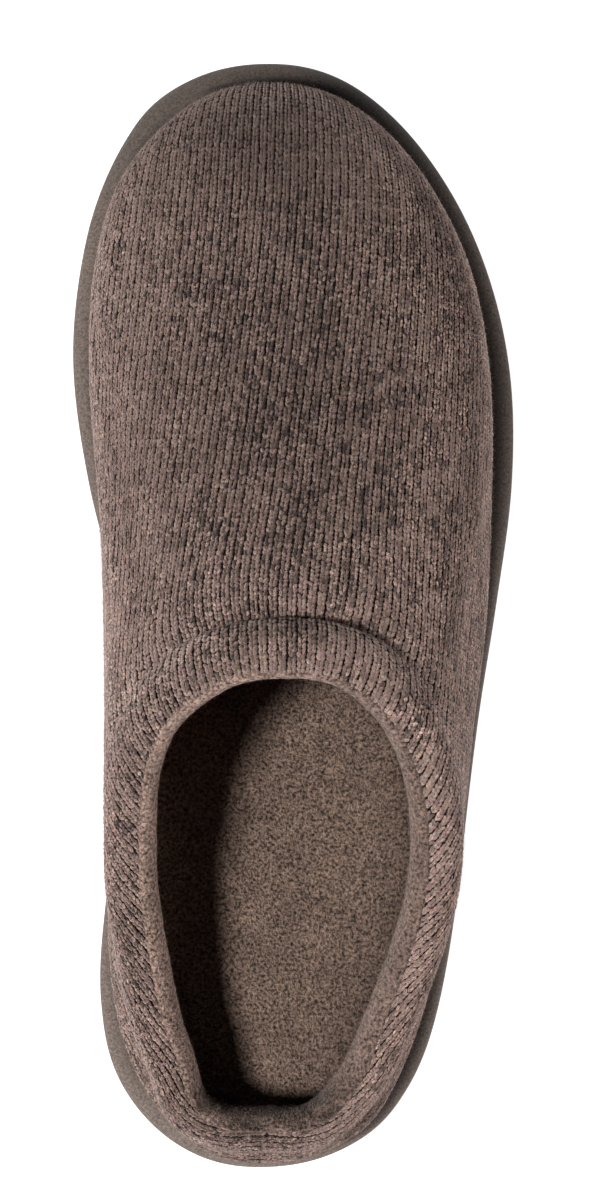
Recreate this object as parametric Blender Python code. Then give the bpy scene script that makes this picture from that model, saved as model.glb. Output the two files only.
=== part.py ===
"""Knit clog slipper for the right foot: a rubber outsole, a fleece-covered insole and a padded knit upper.

Metres, +Z up, +Y towards the toe, +X towards the outer side of the foot. The origin is on the floor,
under the middle of the sole's length and width.
"""

from collections import namedtuple
from math import cos, pi, radians, sin

import bmesh
import bpy
import numpy as np

# Driving sizes
SOLE_LENGTH = 0.290
BALL_WIDTH = 0.1162
UPPER_LENGTH = 0.2800
UPPER_HEEL_SETBACK = 0.003  # the upper's back lies this far inside the sole's heel end
OPENING_LENGTH = 0.1116
OPENING_HEEL_SETBACK = 0.0181  # from the sole's heel end to the back of the opening
INSTEP_HEIGHT = 0.078  # top of the collar at the throat
HEEL_HEIGHT = 0.046  # top of the collar at the back

# The heel-to-toe axis and the opening's axis, as X at the heel end and at the toe end
FOOT_AXIS_X = (-0.0091, -0.0065)
OPENING_AXIS_X = (-0.0065, -0.0015)

# Sole heights
FOREFOOT_THICKNESS = 0.013
HEEL_THICKNESS = 0.018
TOE_SPRING = 0.007
TOE_SPRING_START = 0.78  # station where the toe begins to lift
ARCH_RISE = 0.0025
ARCH_STATIONS = (0.32, 0.56)
HEEL_SLOPE_STATIONS = (0.26, 0.58)  # the top falls from heel to forefoot between these
RIM_RADIUS = 0.0032
FLOOR_EDGE_RADIUS = 0.0020
SIDE_DRAFT = 0.0010  # the side leans in by this much towards the floor

# Upper and insole
WALL = 0.0030
GAP = 0.0003  # between pieces that touch
BULGE_HEIGHT = 0.0105  # the upper is widest this far above the sole
FEATHER_INSET = 0.0026  # the upper's foot is this much inside its widest line
FEATHER_MARGIN = 0.0016  # and at least this far inside the sole's edge
COLLAR_HALF_DEPTH = 0.0080  # the collar roll, measured along the wall
# Below the first angle the wall runs smoothly into the roll, above the second it is tucked.
TUCK_FADES_DEG = (120.0, 150.0)
TOE_FULLNESS = 0.52  # how upright the upper leaves its widest line
INSTEP_PULL = 1.15  # how far the instep's slope carries down the vamp
FAN = 0.5  # how far the ribs of the surface lean from the collar towards the toe
PADDING_FADE = 2.5  # how soon the collar's padding thins out down the wall
INSOLE_THICKNESS = 0.0070
INSOLE_CUP = 0.0022  # the footbed's middle lies this far below its edge

# Facets
AROUND = 84
FOOT_ROWS = 3
VAMP_ROWS = 14
COLLAR_ROWS = 12
RIM_ROWS = 3
ACROSS = 8

# Half-breadths on the inner (medial) and outer (lateral) side of the foot axis, in ball widths.
# A station is a share of the piece's own length, from its heel end.
Section = namedtuple("Section", "station sole_medial sole_lateral upper_medial upper_lateral")
FOOT_SECTIONS = (
    Section(0.02, 0.182, 0.207, 0.151, 0.193),
    Section(0.07, 0.304, 0.332, 0.256, 0.298),
    Section(0.15, 0.360, 0.405, 0.323, 0.370),
    Section(0.25, 0.349, 0.444, 0.340, 0.428),
    Section(0.40, 0.315, 0.486, 0.342, 0.470),
    Section(0.51, 0.333, 0.527, 0.355, 0.499),
    Section(0.62, 0.400, 0.560, 0.370, 0.507),
    Section(0.73, 0.438, 0.550, 0.393, 0.501),
    Section(0.84, 0.411, 0.472, 0.380, 0.445),
    Section(0.93, 0.325, 0.335, 0.299, 0.321),
    Section(0.98, 0.204, 0.193, 0.171, 0.186),
)
FOOT_END_POWERS = (0.45, 0.45)  # how blunt the heel and toe ends are

# The inner edge of the collar, as half-breadths from the opening's axis in shares of the ball width.
OpeningSection = namedtuple("OpeningSection", "station medial lateral")
OPENING_SECTIONS = (
    OpeningSection(0.02, 0.126, 0.104),
    OpeningSection(0.10, 0.165, 0.162),
    OpeningSection(0.22, 0.206, 0.207),
    OpeningSection(0.36, 0.239, 0.252),
    OpeningSection(0.53, 0.269, 0.287),
    OpeningSection(0.66, 0.275, 0.287),
    OpeningSection(0.79, 0.269, 0.260),
    OpeningSection(0.90, 0.223, 0.203),
    OpeningSection(0.97, 0.139, 0.127),
)
OPENING_END_POWERS = (0.22, 0.38)

# The collar roll, from the back of the heel (turn 0) round either side to the throat (turn 1).
# rise: share of the way from heel height to instep height.
# lean: degrees that the wall leans in from upright.
# outer, inner: how far the padding swells to each side of the wall's middle.
# tuck, inner_tuck: degrees round the roll's section, from its nose, where outer and inner skin meet it.
CollarSection = namedtuple("CollarSection", "turn rise lean outer inner tuck inner_tuck")
COLLAR_SECTIONS = (
    CollarSection(0.00, 0.00, 8.0, 0.0054, 0.0060, 112.0, 140.0),
    CollarSection(0.30, 0.05, 12.0, 0.0072, 0.0054, 112.0, 140.0),
    CollarSection(0.50, 0.25, 17.0, 0.0074, 0.0054, 116.0, 142.0),
    CollarSection(0.70, 0.55, 38.0, 0.0068, 0.0050, 138.0, 150.0),
    CollarSection(0.85, 0.86, 62.0, 0.0060, 0.0044, 157.0, 160.0),
    CollarSection(1.00, 1.00, 75.0, 0.0056, 0.0040, 163.0, 165.0),
)

HEEL_END_Y = -SOLE_LENGTH / 2
UP = np.array([0.0, 0.0, 1.0])


def smooth_column(rows, column, at):
    """A table's column, read at any places along its first column on a smooth curve through the rows."""
    places = np.array([row[0] for row in rows])
    values = np.array([getattr(row, column) for row in rows])
    slopes = np.gradient(values, places)
    slopes[[0, -1]] = 0
    at = np.clip(at, places[0], places[-1])
    row = np.clip(np.searchsorted(places, at) - 1, 0, len(places) - 2)
    step = places[row + 1] - places[row]
    share = (at - places[row]) / step
    rising = share**2 * (3 - 2 * share)
    leaving = share * (1 - share) ** 2 * step * slopes[row]
    arriving = -(share**2) * (1 - share) * step * slopes[row + 1]
    return values[row] * (1 - rising) + values[row + 1] * rising + leaving + arriving


def ease(value, start, end):
    """0 before start, 1 after end, and a smooth step between."""
    share = np.clip((value - start) / (end - start), 0, 1)
    return share**2 * (3 - 2 * share)


def half_breadth(rows, column, station, end_powers):
    """A half-breadth in metres, rounded to nothing at both ends of the length."""
    def fullness(at):
        return (4 * at * (1 - at)) ** np.interp(at, (0, 1), end_powers)

    filled = [row._replace(**{column: getattr(row, column) / fullness(row[0])}) for row in rows]
    return BALL_WIDTH * fullness(station) * smooth_column(filled, column, station)


def turn_angles():
    """Angles round the shoe: 0 at the heel, pi at the toe by the outer side, and back by the inner side."""
    return np.arange(AROUND) * 2 * pi / AROUND


def foot_plan(angles, length, heel_y, columns):
    """Plan points of the sole's edge or the upper's widest line."""
    station = (1 - np.cos(angles)) / 2
    lateral = angles <= pi
    y = heel_y + length * station
    axis = np.interp(y, (HEEL_END_Y, -HEEL_END_Y), FOOT_AXIS_X)
    medial_x = -half_breadth(FOOT_SECTIONS, columns[0], station, FOOT_END_POWERS)
    lateral_x = half_breadth(FOOT_SECTIONS, columns[1], station, FOOT_END_POWERS)
    return np.stack([axis + np.where(lateral, lateral_x, medial_x), y], axis=1)


def sole_plan(angles):
    return foot_plan(angles, SOLE_LENGTH, HEEL_END_Y, ("sole_medial", "sole_lateral"))


def opening_plan(angles):
    station = (1 - np.cos(angles)) / 2
    x = np.interp(station, (0, 1), OPENING_AXIS_X)
    medial = half_breadth(OPENING_SECTIONS, "medial", station, OPENING_END_POWERS)
    lateral = half_breadth(OPENING_SECTIONS, "lateral", station, OPENING_END_POWERS)
    y = HEEL_END_Y + OPENING_HEEL_SETBACK + OPENING_LENGTH * station
    return np.stack([x + np.where(angles <= pi, lateral, -medial), y], axis=1)


def along(points):
    """Unit tangents of a closed ring of points."""
    step = np.roll(points, -1, axis=0) - np.roll(points, 1, axis=0)
    return step / np.linalg.norm(step, axis=1, keepdims=True)


def outward(plan):
    """Unit normals of a closed plan ring that runs anticlockwise from above."""
    tangent = along(plan)
    return np.stack([tangent[:, 1], -tangent[:, 0]], axis=1)


def station_of(y):
    return (y - HEEL_END_Y) / SOLE_LENGTH


def floor_height(y):
    """The sole's underside: flat under heel and ball, raised at the arch and the toe."""
    station = station_of(y)
    arch_middle = sum(ARCH_STATIONS) / 2
    arch = ease(station, ARCH_STATIONS[0], arch_middle) * (1 - ease(station, arch_middle, ARCH_STATIONS[1]))
    lift = np.clip((station - TOE_SPRING_START) / (1 - TOE_SPRING_START), 0, 1)
    return ARCH_RISE * arch + TOE_SPRING * lift**2


def bed_height(y):
    """The sole's top, which upper and insole stand on."""
    station = station_of(y)
    fall = ease(station, *HEEL_SLOPE_STATIONS)
    lift = np.clip((station - TOE_SPRING_START) / (1 - TOE_SPRING_START), 0, 1)
    return HEEL_THICKNESS + (FOREFOOT_THICKNESS - HEEL_THICKNESS) * fall + TOE_SPRING * lift**2


def raised(plan, height):
    """Plan points lifted to a height, or to one height each."""
    return np.column_stack([plan, np.broadcast_to(height, len(plan))])


def hermite(start, end, leave, arrive, rows):
    """Rings between two rings, leaving and arriving along the given vectors. The first ring is left out."""
    rings = []
    for share in np.arange(1, rows + 1) / rows:
        rising = share**2 * (3 - 2 * share)
        bend = leave * share * (1 - share) ** 2 - arrive * share**2 * (1 - share)
        rings.append(start * (1 - rising) + end * rising + bend)
    return rings


CollarFrame = namedtuple("CollarFrame", "core along_wall out_of_wall section")


def collar_frame(angles):
    """The roll's core line, its directions up the wall and out of it, and its section at each angle."""
    turn = 1 - np.abs(angles / pi - 1)
    section = CollarSection(*(smooth_column(COLLAR_SECTIONS, name, turn) for name in CollarSection._fields))
    lean = np.radians(section.lean)
    top = HEEL_HEIGHT + section.rise * (INSTEP_HEIGHT - HEEL_HEIGHT)
    inner_reach = np.hypot(COLLAR_HALF_DEPTH * np.sin(lean), section.inner * np.cos(lean))
    top_reach = np.hypot(COLLAR_HALF_DEPTH * np.cos(lean), section.outer * np.sin(lean))
    edge = opening_plan(angles)
    out = raised(outward(edge), 0)
    core = raised(edge, top - top_reach) + out * inner_reach[:, None]
    along_wall = -out * np.sin(lean)[:, None] + UP * np.cos(lean)[:, None]
    out_of_wall = out * np.cos(lean)[:, None] + UP * np.sin(lean)[:, None]
    return CollarFrame(core, along_wall, out_of_wall, section)


def collar_ring(frame, degrees):
    """One ring on the roll: 90 is its outer swell, 0 its nose at the opening and -90 its inner swell."""
    turn = np.radians(degrees)[:, None]
    swell = np.where(degrees >= 0, frame.section.outer, frame.section.inner)[:, None]
    nose = frame.along_wall * COLLAR_HALF_DEPTH * np.cos(turn)
    return frame.core + nose + frame.out_of_wall * swell * np.sin(turn)


def tuck_arrival(frame):
    """How the outer skin comes up to the roll: along the wall where it is tucked, else along the roll."""
    section = frame.section
    swing = -section.outer / (COLLAR_HALF_DEPTH * np.tan(np.radians(section.tuck)))
    swing = swing * (1 - ease(section.tuck, *TUCK_FADES_DEG))
    return frame.along_wall + frame.out_of_wall * swing[:, None]


def upper_outer_rings(angles):
    """The upper's outer skin from its foot on the sole, over its widest line, to the collar's tuck."""
    leaning = angles - FAN * np.sin(angles)
    widest_plan = foot_plan(
        leaning, UPPER_LENGTH, HEEL_END_Y + UPPER_HEEL_SETBACK, ("upper_medial", "upper_lateral")
    )
    widest = raised(widest_plan, bed_height(widest_plan[:, 1]) + GAP + BULGE_HEIGHT)
    foot = upper_foot(widest_plan)
    frame = collar_frame(angles)
    tuck = collar_ring(frame, frame.section.tuck)
    span = tuck - widest
    widest_along = along(widest)
    tuck_along = along(tuck)
    slip = (span * widest_along).sum(axis=1, keepdims=True)
    reach = np.linalg.norm(span - slip * widest_along, axis=1, keepdims=True)
    leave = UP * reach * TOE_FULLNESS + widest_along * slip
    tuck_slip = (span * tuck_along).sum(axis=1, keepdims=True)
    arrive = tuck_arrival(frame) * reach * INSTEP_PULL + tuck_along * tuck_slip
    swelling = (widest - foot) * (1, 1, 0)
    foot_leave = UP * BULGE_HEIGHT * 0.6 + swelling * 1.6
    below = hermite(foot, widest, foot_leave, UP * BULGE_HEIGHT * 1.4, FOOT_ROWS)
    return [foot, *below, *hermite(widest, tuck, leave, arrive, VAMP_ROWS)], frame


def upper_foot(widest_plan):
    """Where the upper's outer skin stands on the sole: inside its widest line and the sole's edge."""
    inset_plan = widest_plan - outward(widest_plan) * FEATHER_INSET
    station = np.clip(station_of(inset_plan[:, 1]), 0.001, 0.999)
    axis = np.interp(station, (0, 1), FOOT_AXIS_X)
    reach = np.abs(inset_plan[:, 0] - axis)
    medial = inset_plan[:, 0] < axis
    sole_medial = half_breadth(FOOT_SECTIONS, "sole_medial", station, FOOT_END_POWERS)
    sole_lateral = half_breadth(FOOT_SECTIONS, "sole_lateral", station, FOOT_END_POWERS)
    room = np.where(medial, sole_medial, sole_lateral) - FEATHER_MARGIN
    kept = np.minimum(reach, room)
    plan = np.column_stack([axis + np.where(medial, -kept, kept), inset_plan[:, 1]])
    return raised(plan, bed_height(plan[:, 1]) + GAP)


def skin_normals(rings):
    """Outward normals of the outer skin, ring by ring."""
    points = np.array(rings)
    around = np.roll(points, -1, axis=1) - np.roll(points, 1, axis=1)
    climb = np.gradient(points, axis=0)
    normal = np.cross(around, climb)
    return normal / np.linalg.norm(normal, axis=2, keepdims=True)


def inside_rings(rings, frame, depth):
    """The outer skin's rings moved in by a depth, and bent to meet the padded roll on its inner side.

    The foot ring moves level, so that it stays on the sole.
    """
    normals = skin_normals(rings)
    normals[0, :, 2] = 0
    normals[0] /= np.linalg.norm(normals[0], axis=1, keepdims=True)
    moved = np.array(rings) - normals * depth
    moved[0, :, 2] = bed_height(moved[0, :, 1]) + GAP
    padding = collar_ring(frame, -frame.section.inner_tuck) - moved[-1]
    climbed = np.clip((np.arange(len(rings)) - FOOT_ROWS) / VAMP_ROWS, 0, 1)
    return list(moved + padding * (climbed**PADDING_FADE)[:, None, None])


def upper_rings():
    """Closed skin of the upper, from the outer foot over the collar to the inner foot."""
    outer, frame = upper_outer_rings(turn_angles())
    inner = inside_rings(outer, frame, WALL)
    shares = np.arange(1, COLLAR_ROWS) / COLLAR_ROWS
    tuck, inner_tuck = frame.section.tuck, frame.section.inner_tuck
    roll = [collar_ring(frame, tuck - share * (tuck + inner_tuck)) for share in shares]
    return [*outer, *roll, *reversed(inner)]


def sole_rings():
    """Rings of the sole's side, from the floor edge up to the inner side of its rounded rim."""
    plan = sole_plan(turn_angles())
    normal = outward(plan)
    rings = []

    def ring(inset, height):
        moved = plan - normal * inset
        return raised(moved, height(moved[:, 1]))

    for degrees in np.linspace(0, 90, RIM_ROWS):
        turn = radians(degrees)
        inset = SIDE_DRAFT + FLOOR_EDGE_RADIUS * (1 - sin(turn))
        lift = FLOOR_EDGE_RADIUS * (1 - cos(turn))
        rings.append(ring(inset, lambda y: floor_height(y) + lift))
    for degrees in np.linspace(0, 90, RIM_ROWS + 1):
        turn = radians(degrees)
        inset = RIM_RADIUS * (1 - cos(turn))
        drop = RIM_RADIUS * (1 - sin(turn))
        rings.append(ring(inset, lambda y: bed_height(y) - drop))
    return rings


def insole_rings():
    """Rings of the insole's side, which follows the inside of the upper's wall."""
    outer, frame = upper_outer_rings(turn_angles())
    inside = inside_rings(outer, frame, WALL + GAP)
    rings = [inside[0]]
    for share in np.linspace(0, 1, RIM_ROWS + 1)[1:]:
        height = bed_height(inside[0][:, 1]) + GAP + INSOLE_THICKNESS * share
        rings.append(ring_at_height(inside, height))
    return rings


def ring_at_height(rings, heights):
    """The points of a stack of rings at given heights, one for each point round the ring."""
    stack = np.array(rings)
    found = [
        [np.interp(height, stack[:, i, 2], stack[:, i, axis]) for axis in range(2)]
        for i, height in enumerate(heights)
    ]
    return raised(np.array(found), heights)


def new_object(name, build, collection, material):
    mesh = bpy.data.meshes.new(name)
    shape = bmesh.new()
    build(shape)
    bmesh.ops.recalc_face_normals(shape, faces=shape.faces)
    shape.to_mesh(mesh)
    shape.free()
    mesh.shade_smooth()
    mesh.set_sharp_from_angle(angle=radians(50))
    mesh.materials.append(material)
    collection.objects.link(bpy.data.objects.new(name, mesh))


def add_rings(shape, rings):
    return [[shape.verts.new(point) for point in ring] for ring in rings]


def skin(shape, rings, closed=False):
    """Quads between neighbouring rings, and from the last back to the first if closed."""
    pairs = list(zip(rings, rings[1:]))
    if closed:
        pairs.append((rings[-1], rings[0]))
    for low, high in pairs:
        for i in range(AROUND):
            after = (i + 1) % AROUND
            shape.faces.new((low[i], low[after], high[after], high[i]))


def fill_across(shape, ring, height):
    """Closes a ring with strips from its inner side to its outer side.

    height gives Z from Y and the share across.
    """
    half = AROUND // 2
    rows = [[ring[0]]]
    for i in range(1, half):
        right, left = ring[i], ring[AROUND - i]
        row = [left]
        for share in np.arange(1, ACROSS) / ACROSS:
            point = left.co.lerp(right.co, share)
            point.z += height(point.y, share) - height(point.y, 0)
            row.append(shape.verts.new(point))
        rows.append([*row, right])
    rows.append([ring[half]])
    for low, high in zip(rows, rows[1:]):
        strip = max(len(low), len(high)) - 1
        for j in range(strip):
            corners = [low[min(j, len(low) - 1)], low[min(j + 1, len(low) - 1)]]
            corners += [high[min(j + 1, len(high) - 1)], high[min(j, len(high) - 1)]]
            shape.faces.new(list(dict.fromkeys(corners)))


def build_upper(shape):
    skin(shape, add_rings(shape, upper_rings()), closed=True)


def build_outsole(shape):
    rings = add_rings(shape, sole_rings())
    skin(shape, rings)
    fill_across(shape, rings[0], lambda y, share: floor_height(y))
    fill_across(shape, rings[-1], lambda y, share: bed_height(y))


def build_insole(shape):
    rings = add_rings(shape, insole_rings())
    skin(shape, rings)
    fill_across(shape, rings[0], lambda y, share: bed_height(y))
    fill_across(shape, rings[-1], lambda y, share: bed_height(y) - INSOLE_CUP * sin(pi * share) ** 2)


def new_material(name, colour, roughness):
    material = bpy.data.materials.new(name)
    material.use_nodes = True
    shader = material.node_tree.nodes["Principled BSDF"]
    shader.inputs["Base Color"].default_value = (*colour, 1)
    shader.inputs["Roughness"].default_value = roughness
    shader.inputs["Metallic"].default_value = 0
    return material


def main():
    for old in list(bpy.data.objects):
        bpy.data.objects.remove(old)
    slipper = bpy.data.collections.new("clog_slipper")
    bpy.context.scene.collection.children.link(slipper)
    new_object("outsole", build_outsole, slipper, new_material("sole_rubber", (0.16, 0.13, 0.11), 0.85))
    new_object("insole", build_insole, slipper, new_material("insole_fleece", (0.17, 0.12, 0.10), 0.95))
    new_object("upper", build_upper, slipper, new_material("upper_knit", (0.16, 0.12, 0.105), 0.95))


main()
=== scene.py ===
"""Looks of the knit clog slipper: stitched knit, fleece lining and insole, and a rubber sole with its tread.

Metres, +Z up, +Y towards the toe, +X towards the outer side of the foot.
"""

from collections import namedtuple
from math import cos, pi, radians, sin

import bpy
import numpy as np
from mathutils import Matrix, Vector
from mathutils.bvhtree import BVHTree


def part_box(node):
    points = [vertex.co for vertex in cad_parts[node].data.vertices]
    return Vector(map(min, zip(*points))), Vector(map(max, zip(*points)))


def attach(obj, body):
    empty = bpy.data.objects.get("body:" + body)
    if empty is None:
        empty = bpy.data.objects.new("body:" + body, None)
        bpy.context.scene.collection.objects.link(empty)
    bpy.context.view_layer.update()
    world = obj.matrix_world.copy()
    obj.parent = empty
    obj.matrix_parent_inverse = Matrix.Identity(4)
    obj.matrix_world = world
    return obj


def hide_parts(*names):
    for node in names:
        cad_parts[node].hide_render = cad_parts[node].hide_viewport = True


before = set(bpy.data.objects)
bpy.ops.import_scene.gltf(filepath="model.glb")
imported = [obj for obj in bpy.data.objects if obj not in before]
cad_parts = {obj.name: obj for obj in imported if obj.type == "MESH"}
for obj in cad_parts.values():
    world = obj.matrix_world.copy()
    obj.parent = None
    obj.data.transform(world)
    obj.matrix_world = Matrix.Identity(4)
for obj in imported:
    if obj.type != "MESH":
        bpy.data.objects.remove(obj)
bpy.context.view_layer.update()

bl_info = {
    "name": "Knit Clog Slipper",
    "version": (1, 0, 0),
    "blender": (4, 5, 0),
    "location": "View3D > Sidebar > Slipper",
    "description": "Dresses the packed slipper with knit, fleece and rubber",
    "category": "Object",
}

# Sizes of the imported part
SOLE_LOW, SOLE_HIGH = (np.array(corner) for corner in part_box("outsole"))
SOLE_LENGTH = SOLE_HIGH[1] - SOLE_LOW[1]
BALL_WIDTH = 0.1162
UPPER_LENGTH = 0.2800
UPPER_HEEL_SETBACK = 0.003
OPENING_LENGTH = 0.1116
OPENING_HEEL_SETBACK = 0.0181
INSTEP_HEIGHT = 0.078
HEEL_HEIGHT = 0.046
FOOT_AXIS_X = (-0.0091, -0.0065)
OPENING_AXIS_X = (-0.0065, -0.0015)
FOREFOOT_THICKNESS = 0.013
HEEL_THICKNESS = 0.018
TOE_SPRING = 0.007
TOE_SPRING_START = 0.78
ARCH_RISE = 0.0025
ARCH_STATIONS = (0.32, 0.56)
HEEL_SLOPE_STATIONS = (0.26, 0.58)
FLOOR_EDGE_RADIUS = 0.0020
SIDE_DRAFT = 0.0010
WALL = 0.0030
GAP = 0.0003
BULGE_HEIGHT = 0.0105
FEATHER_INSET = 0.0026
FEATHER_MARGIN = 0.0016
END_STATIONS = (0.001, 0.999)
COLLAR_HALF_DEPTH = 0.0080
TUCK_FADES_DEG = (120.0, 150.0)
TOE_FULLNESS = 0.52
INSTEP_PULL = 1.15
FOOT_LEAVE_RISE = 0.6
FOOT_LEAVE_SWELL = 1.6
WIDEST_ARRIVE_RISE = 1.4
VAMP_CROWDING = 0.55
FAN = 0.5
PADDING_FADE = 2.5
INSOLE_THICKNESS = 0.0070
INSOLE_CUP = 0.0022
SOLE_SIDES = ("sole_medial", "sole_lateral")
UPPER_SIDES = ("upper_medial", "upper_lateral")
FOOT_END_POWERS = (0.45, 0.45)
OPENING_END_POWERS = (0.22, 0.38)

Section = namedtuple("Section", "station sole_medial sole_lateral upper_medial upper_lateral")
FOOT_SECTIONS = (
    Section(0.02, 0.182, 0.207, 0.151, 0.193),
    Section(0.07, 0.304, 0.332, 0.256, 0.298),
    Section(0.15, 0.360, 0.405, 0.323, 0.370),
    Section(0.25, 0.349, 0.444, 0.340, 0.428),
    Section(0.40, 0.315, 0.486, 0.342, 0.470),
    Section(0.51, 0.333, 0.527, 0.355, 0.499),
    Section(0.62, 0.400, 0.560, 0.370, 0.507),
    Section(0.73, 0.438, 0.550, 0.393, 0.501),
    Section(0.84, 0.411, 0.472, 0.380, 0.445),
    Section(0.93, 0.325, 0.335, 0.299, 0.321),
    Section(0.98, 0.204, 0.193, 0.171, 0.186),
)
OpeningSection = namedtuple("OpeningSection", "station medial lateral")
OPENING_SECTIONS = (
    OpeningSection(0.02, 0.126, 0.104),
    OpeningSection(0.10, 0.165, 0.162),
    OpeningSection(0.22, 0.206, 0.207),
    OpeningSection(0.36, 0.239, 0.252),
    OpeningSection(0.53, 0.269, 0.287),
    OpeningSection(0.66, 0.275, 0.287),
    OpeningSection(0.79, 0.269, 0.260),
    OpeningSection(0.90, 0.223, 0.203),
    OpeningSection(0.97, 0.139, 0.127),
)
CollarSection = namedtuple("CollarSection", "turn rise lean outer inner tuck inner_tuck")
COLLAR_SECTIONS = (
    CollarSection(0.00, 0.00, 8.0, 0.0054, 0.0060, 112.0, 140.0),
    CollarSection(0.30, 0.05, 12.0, 0.0072, 0.0054, 112.0, 140.0),
    CollarSection(0.50, 0.25, 17.0, 0.0074, 0.0054, 116.0, 142.0),
    CollarSection(0.70, 0.55, 38.0, 0.0068, 0.0050, 138.0, 150.0),
    CollarSection(0.85, 0.86, 62.0, 0.0060, 0.0044, 157.0, 160.0),
    CollarSection(1.00, 1.00, 75.0, 0.0056, 0.0040, 163.0, 165.0),
)

# Where knit meets lining on the collar roll, in degrees round its section from the nose, and how the knit's
# wales climb to the rim there, in degrees from the rim. Turn 0 is the back of the heel, 1 the throat.
SeamSection = namedtuple("SeamSection", "turn seam_medial seam_lateral wale_climb")
SEAM_SECTIONS = (
    SeamSection(0.00, 9.0, 9.0, 4.0),
    SeamSection(0.15, -5.0, 17.0, 8.0),
    SeamSection(0.30, 5.0, 12.0, 16.0),
    SeamSection(0.50, 8.0, 14.0, 38.0),
    SeamSection(0.70, 22.0, 20.0, 58.0),
    SeamSection(0.85, 31.0, 28.0, 78.0),
    SeamSection(1.00, 27.0, 27.0, 90.0),
)

# The knit's layout
WALE_CLIMB = (0.05, 0.8)  # climb of the wales for each step back, on side walls and on the toe's front
LeanSection = namedtuple("LeanSection", "y lean")  # lean of the wales to the outer side, in degrees
LEAN_SECTIONS = (
    LeanSection(-0.020, 6.0),
    LeanSection(0.014, 8.0),
    LeanSection(0.045, 9.0),
    LeanSection(0.075, 9.7),
    LeanSection(0.100, 7.0),
    LeanSection(0.125, 4.0),
)
WALE_LEAN_SPREAD_DEG = 9.0  # more lean beside the throat on the outer side, less on the inner side
SIDE_CROWDING = 0.16  # how much closer the wales lie on the sides
SIDE_START = 0.045
TUCK_DEPTH = 0.0019  # the ditch along the collar's tuck
TUCK_WIDTH = 0.0018
TUCK_TURNS = (0.76, 0.96)  # the ditch deepens between these turns
TUCK_SOFTENING = 60  # how often the skin is smoothed along the tuck where there is no ditch
TUCK_SOFT_ROWS = 9.0
TUCK_BESIDE_ROWS = 4  # rows beside the tuck that give the way into the ditch
CORNER_LEAN_Y = (-0.03, 0.025)  # the throat's spread of lean fades out between these
VAMP_TURNS = (0.35, 0.70)  # the wales leave the rim's way for the vamp's between these turns
VAMP_HEIGHTS = (0.80, 1.0)  # and take it up again between these shares of the way to the tuck
STITCH_STRETCH = (0.75, 1.35)
FLAT_ROUNDS = 900
FLAT_PRECISION = 1e-16
YARN_GROUND_DEPTH = 0.00045  # the cloth behind the stitches, below the skin
LINING_THICKNESS = 0.0010
LINING_CLEARANCE = 0.0001  # from the body to the lining's back
LINED_ROWS = 20  # rows from the tuck to where the body lies behind the lining
LINING_OVERLAPS_DEG = (7.0, 6.0)  # how far the knit runs on under the lining, at the heel and elsewhere
LINING_OVERLAP_TURNS = (0.12, 0.30)

# The dressed sole's rounded rim, its gutter and its tread
RIM_WIDTHS = (0.0025, 0.0070)
RIM_SMOOTHING = 30
RIM_MARGIN = 0.0008  # from the rim's inner end to the upper's foot
RIM_DROP = 0.0034
RIM_TOE_DROP = 0.0080
RIM_TOE_STATIONS = (0.86, 0.98)  # the rim drops to its toe height between these
RIM_CREST = 0.6  # the share of the rim that is rounded on the inner side
CREST_STEP = 0.0004
GUTTER_DEPTH = 0.0010  # beyond the crest lies a gutter along the upper
GUTTER_END = 0.0014
GUTTER_FACING = (0.1, 0.6)
BED_INSET = 0.014
TREAD_WAVE = 0.0022
TREAD_WAVE_LENGTH = 0.016
TREAD_EDGES = (0.45, 0.85)
TREAD_PLATEAUS = ((0.50, 0.54, 0.92, 0.95), (0.04, 0.07, 0.33, 0.37))  # stations of ball and heel
TREAD_STRIPS = 72
TREAD_MARGIN_STRIPS = 4  # plain strips along the sole's edge
PLAIN_STRIPS = 10  # across a hidden face

# The footbed
INSOLE_EDGE_PAINTED_SHADE = 0.45  # painted shade: how much darker the footbed's pile is below the opening's edge, where the collar overhangs it
INSOLE_EDGE_REACH = 0.0045
INSOLE_STRIPS = 150
DENT_PITCH = 0.014  # shallow dents of the footbed
DENT_DEPTH = 0.0003

# The lining's painted shades, and the rows from its turned edge to the footbed
LINING_HEEL_PAINTED_SHADES = (0.50, 0.92)  # painted shade: how much darker the lining is at the heel, by the seam and inside
LINING_OUTER_PAINTED_SHADE = 0.37  # and painted shade on the outer side, which is turned from the light
LINING_OUTER_FACING = (-0.2, 0.4)
LINING_HEEL_TURNS = (0.08, 0.22)
LINING_CLUMPS = 0.80  # how much the clumped pile at the heel varies
CLUMP_LIMITS = (0.2, 1.8)
LINING_EDGE_SHARES = (0, 0.006, 0.014, 0.026, 0.045, 0.07)  # rows of the turned edge on the roll
LINING_EDGE_END = 0.10
LINING_EDGE_ROW = 4  # the row where the turned edge is full
LINING_INSIDE_ROW = 18
LINING_PILE_ROWS = slice(2, 30)  # rows that carry loose fibres
LINING_BEAD = 0.00045
LINING_BEAD_ROWS = 3.0
LINING_SWELL = 0.0004
LINING_TURN_IN = 0.8  # how far the edge is turned in, as a share of the thickness

# Painted shade in the joint between knit and sole
JOINT_PAINTED_SHADE = 0.9  # painted shade: how much darker the rubber is in the joint below the knit, away from the light
JOINT_FACING = (-0.3, 0.5)
JOINT_WIDTHS = (0.0004, 0.0020)
JOINT_SHARES = (0.1, 1.0)
LEAST_JOINT = 0.0002

# Loose fibres, and the start of all random draws
HAIR_STANDS = (0.15, 1.1)  # how upright loose fibres stand
HAIR_LENGTHS = (0.5, 1.4)  # shares of their set length
SEED = 11

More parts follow.
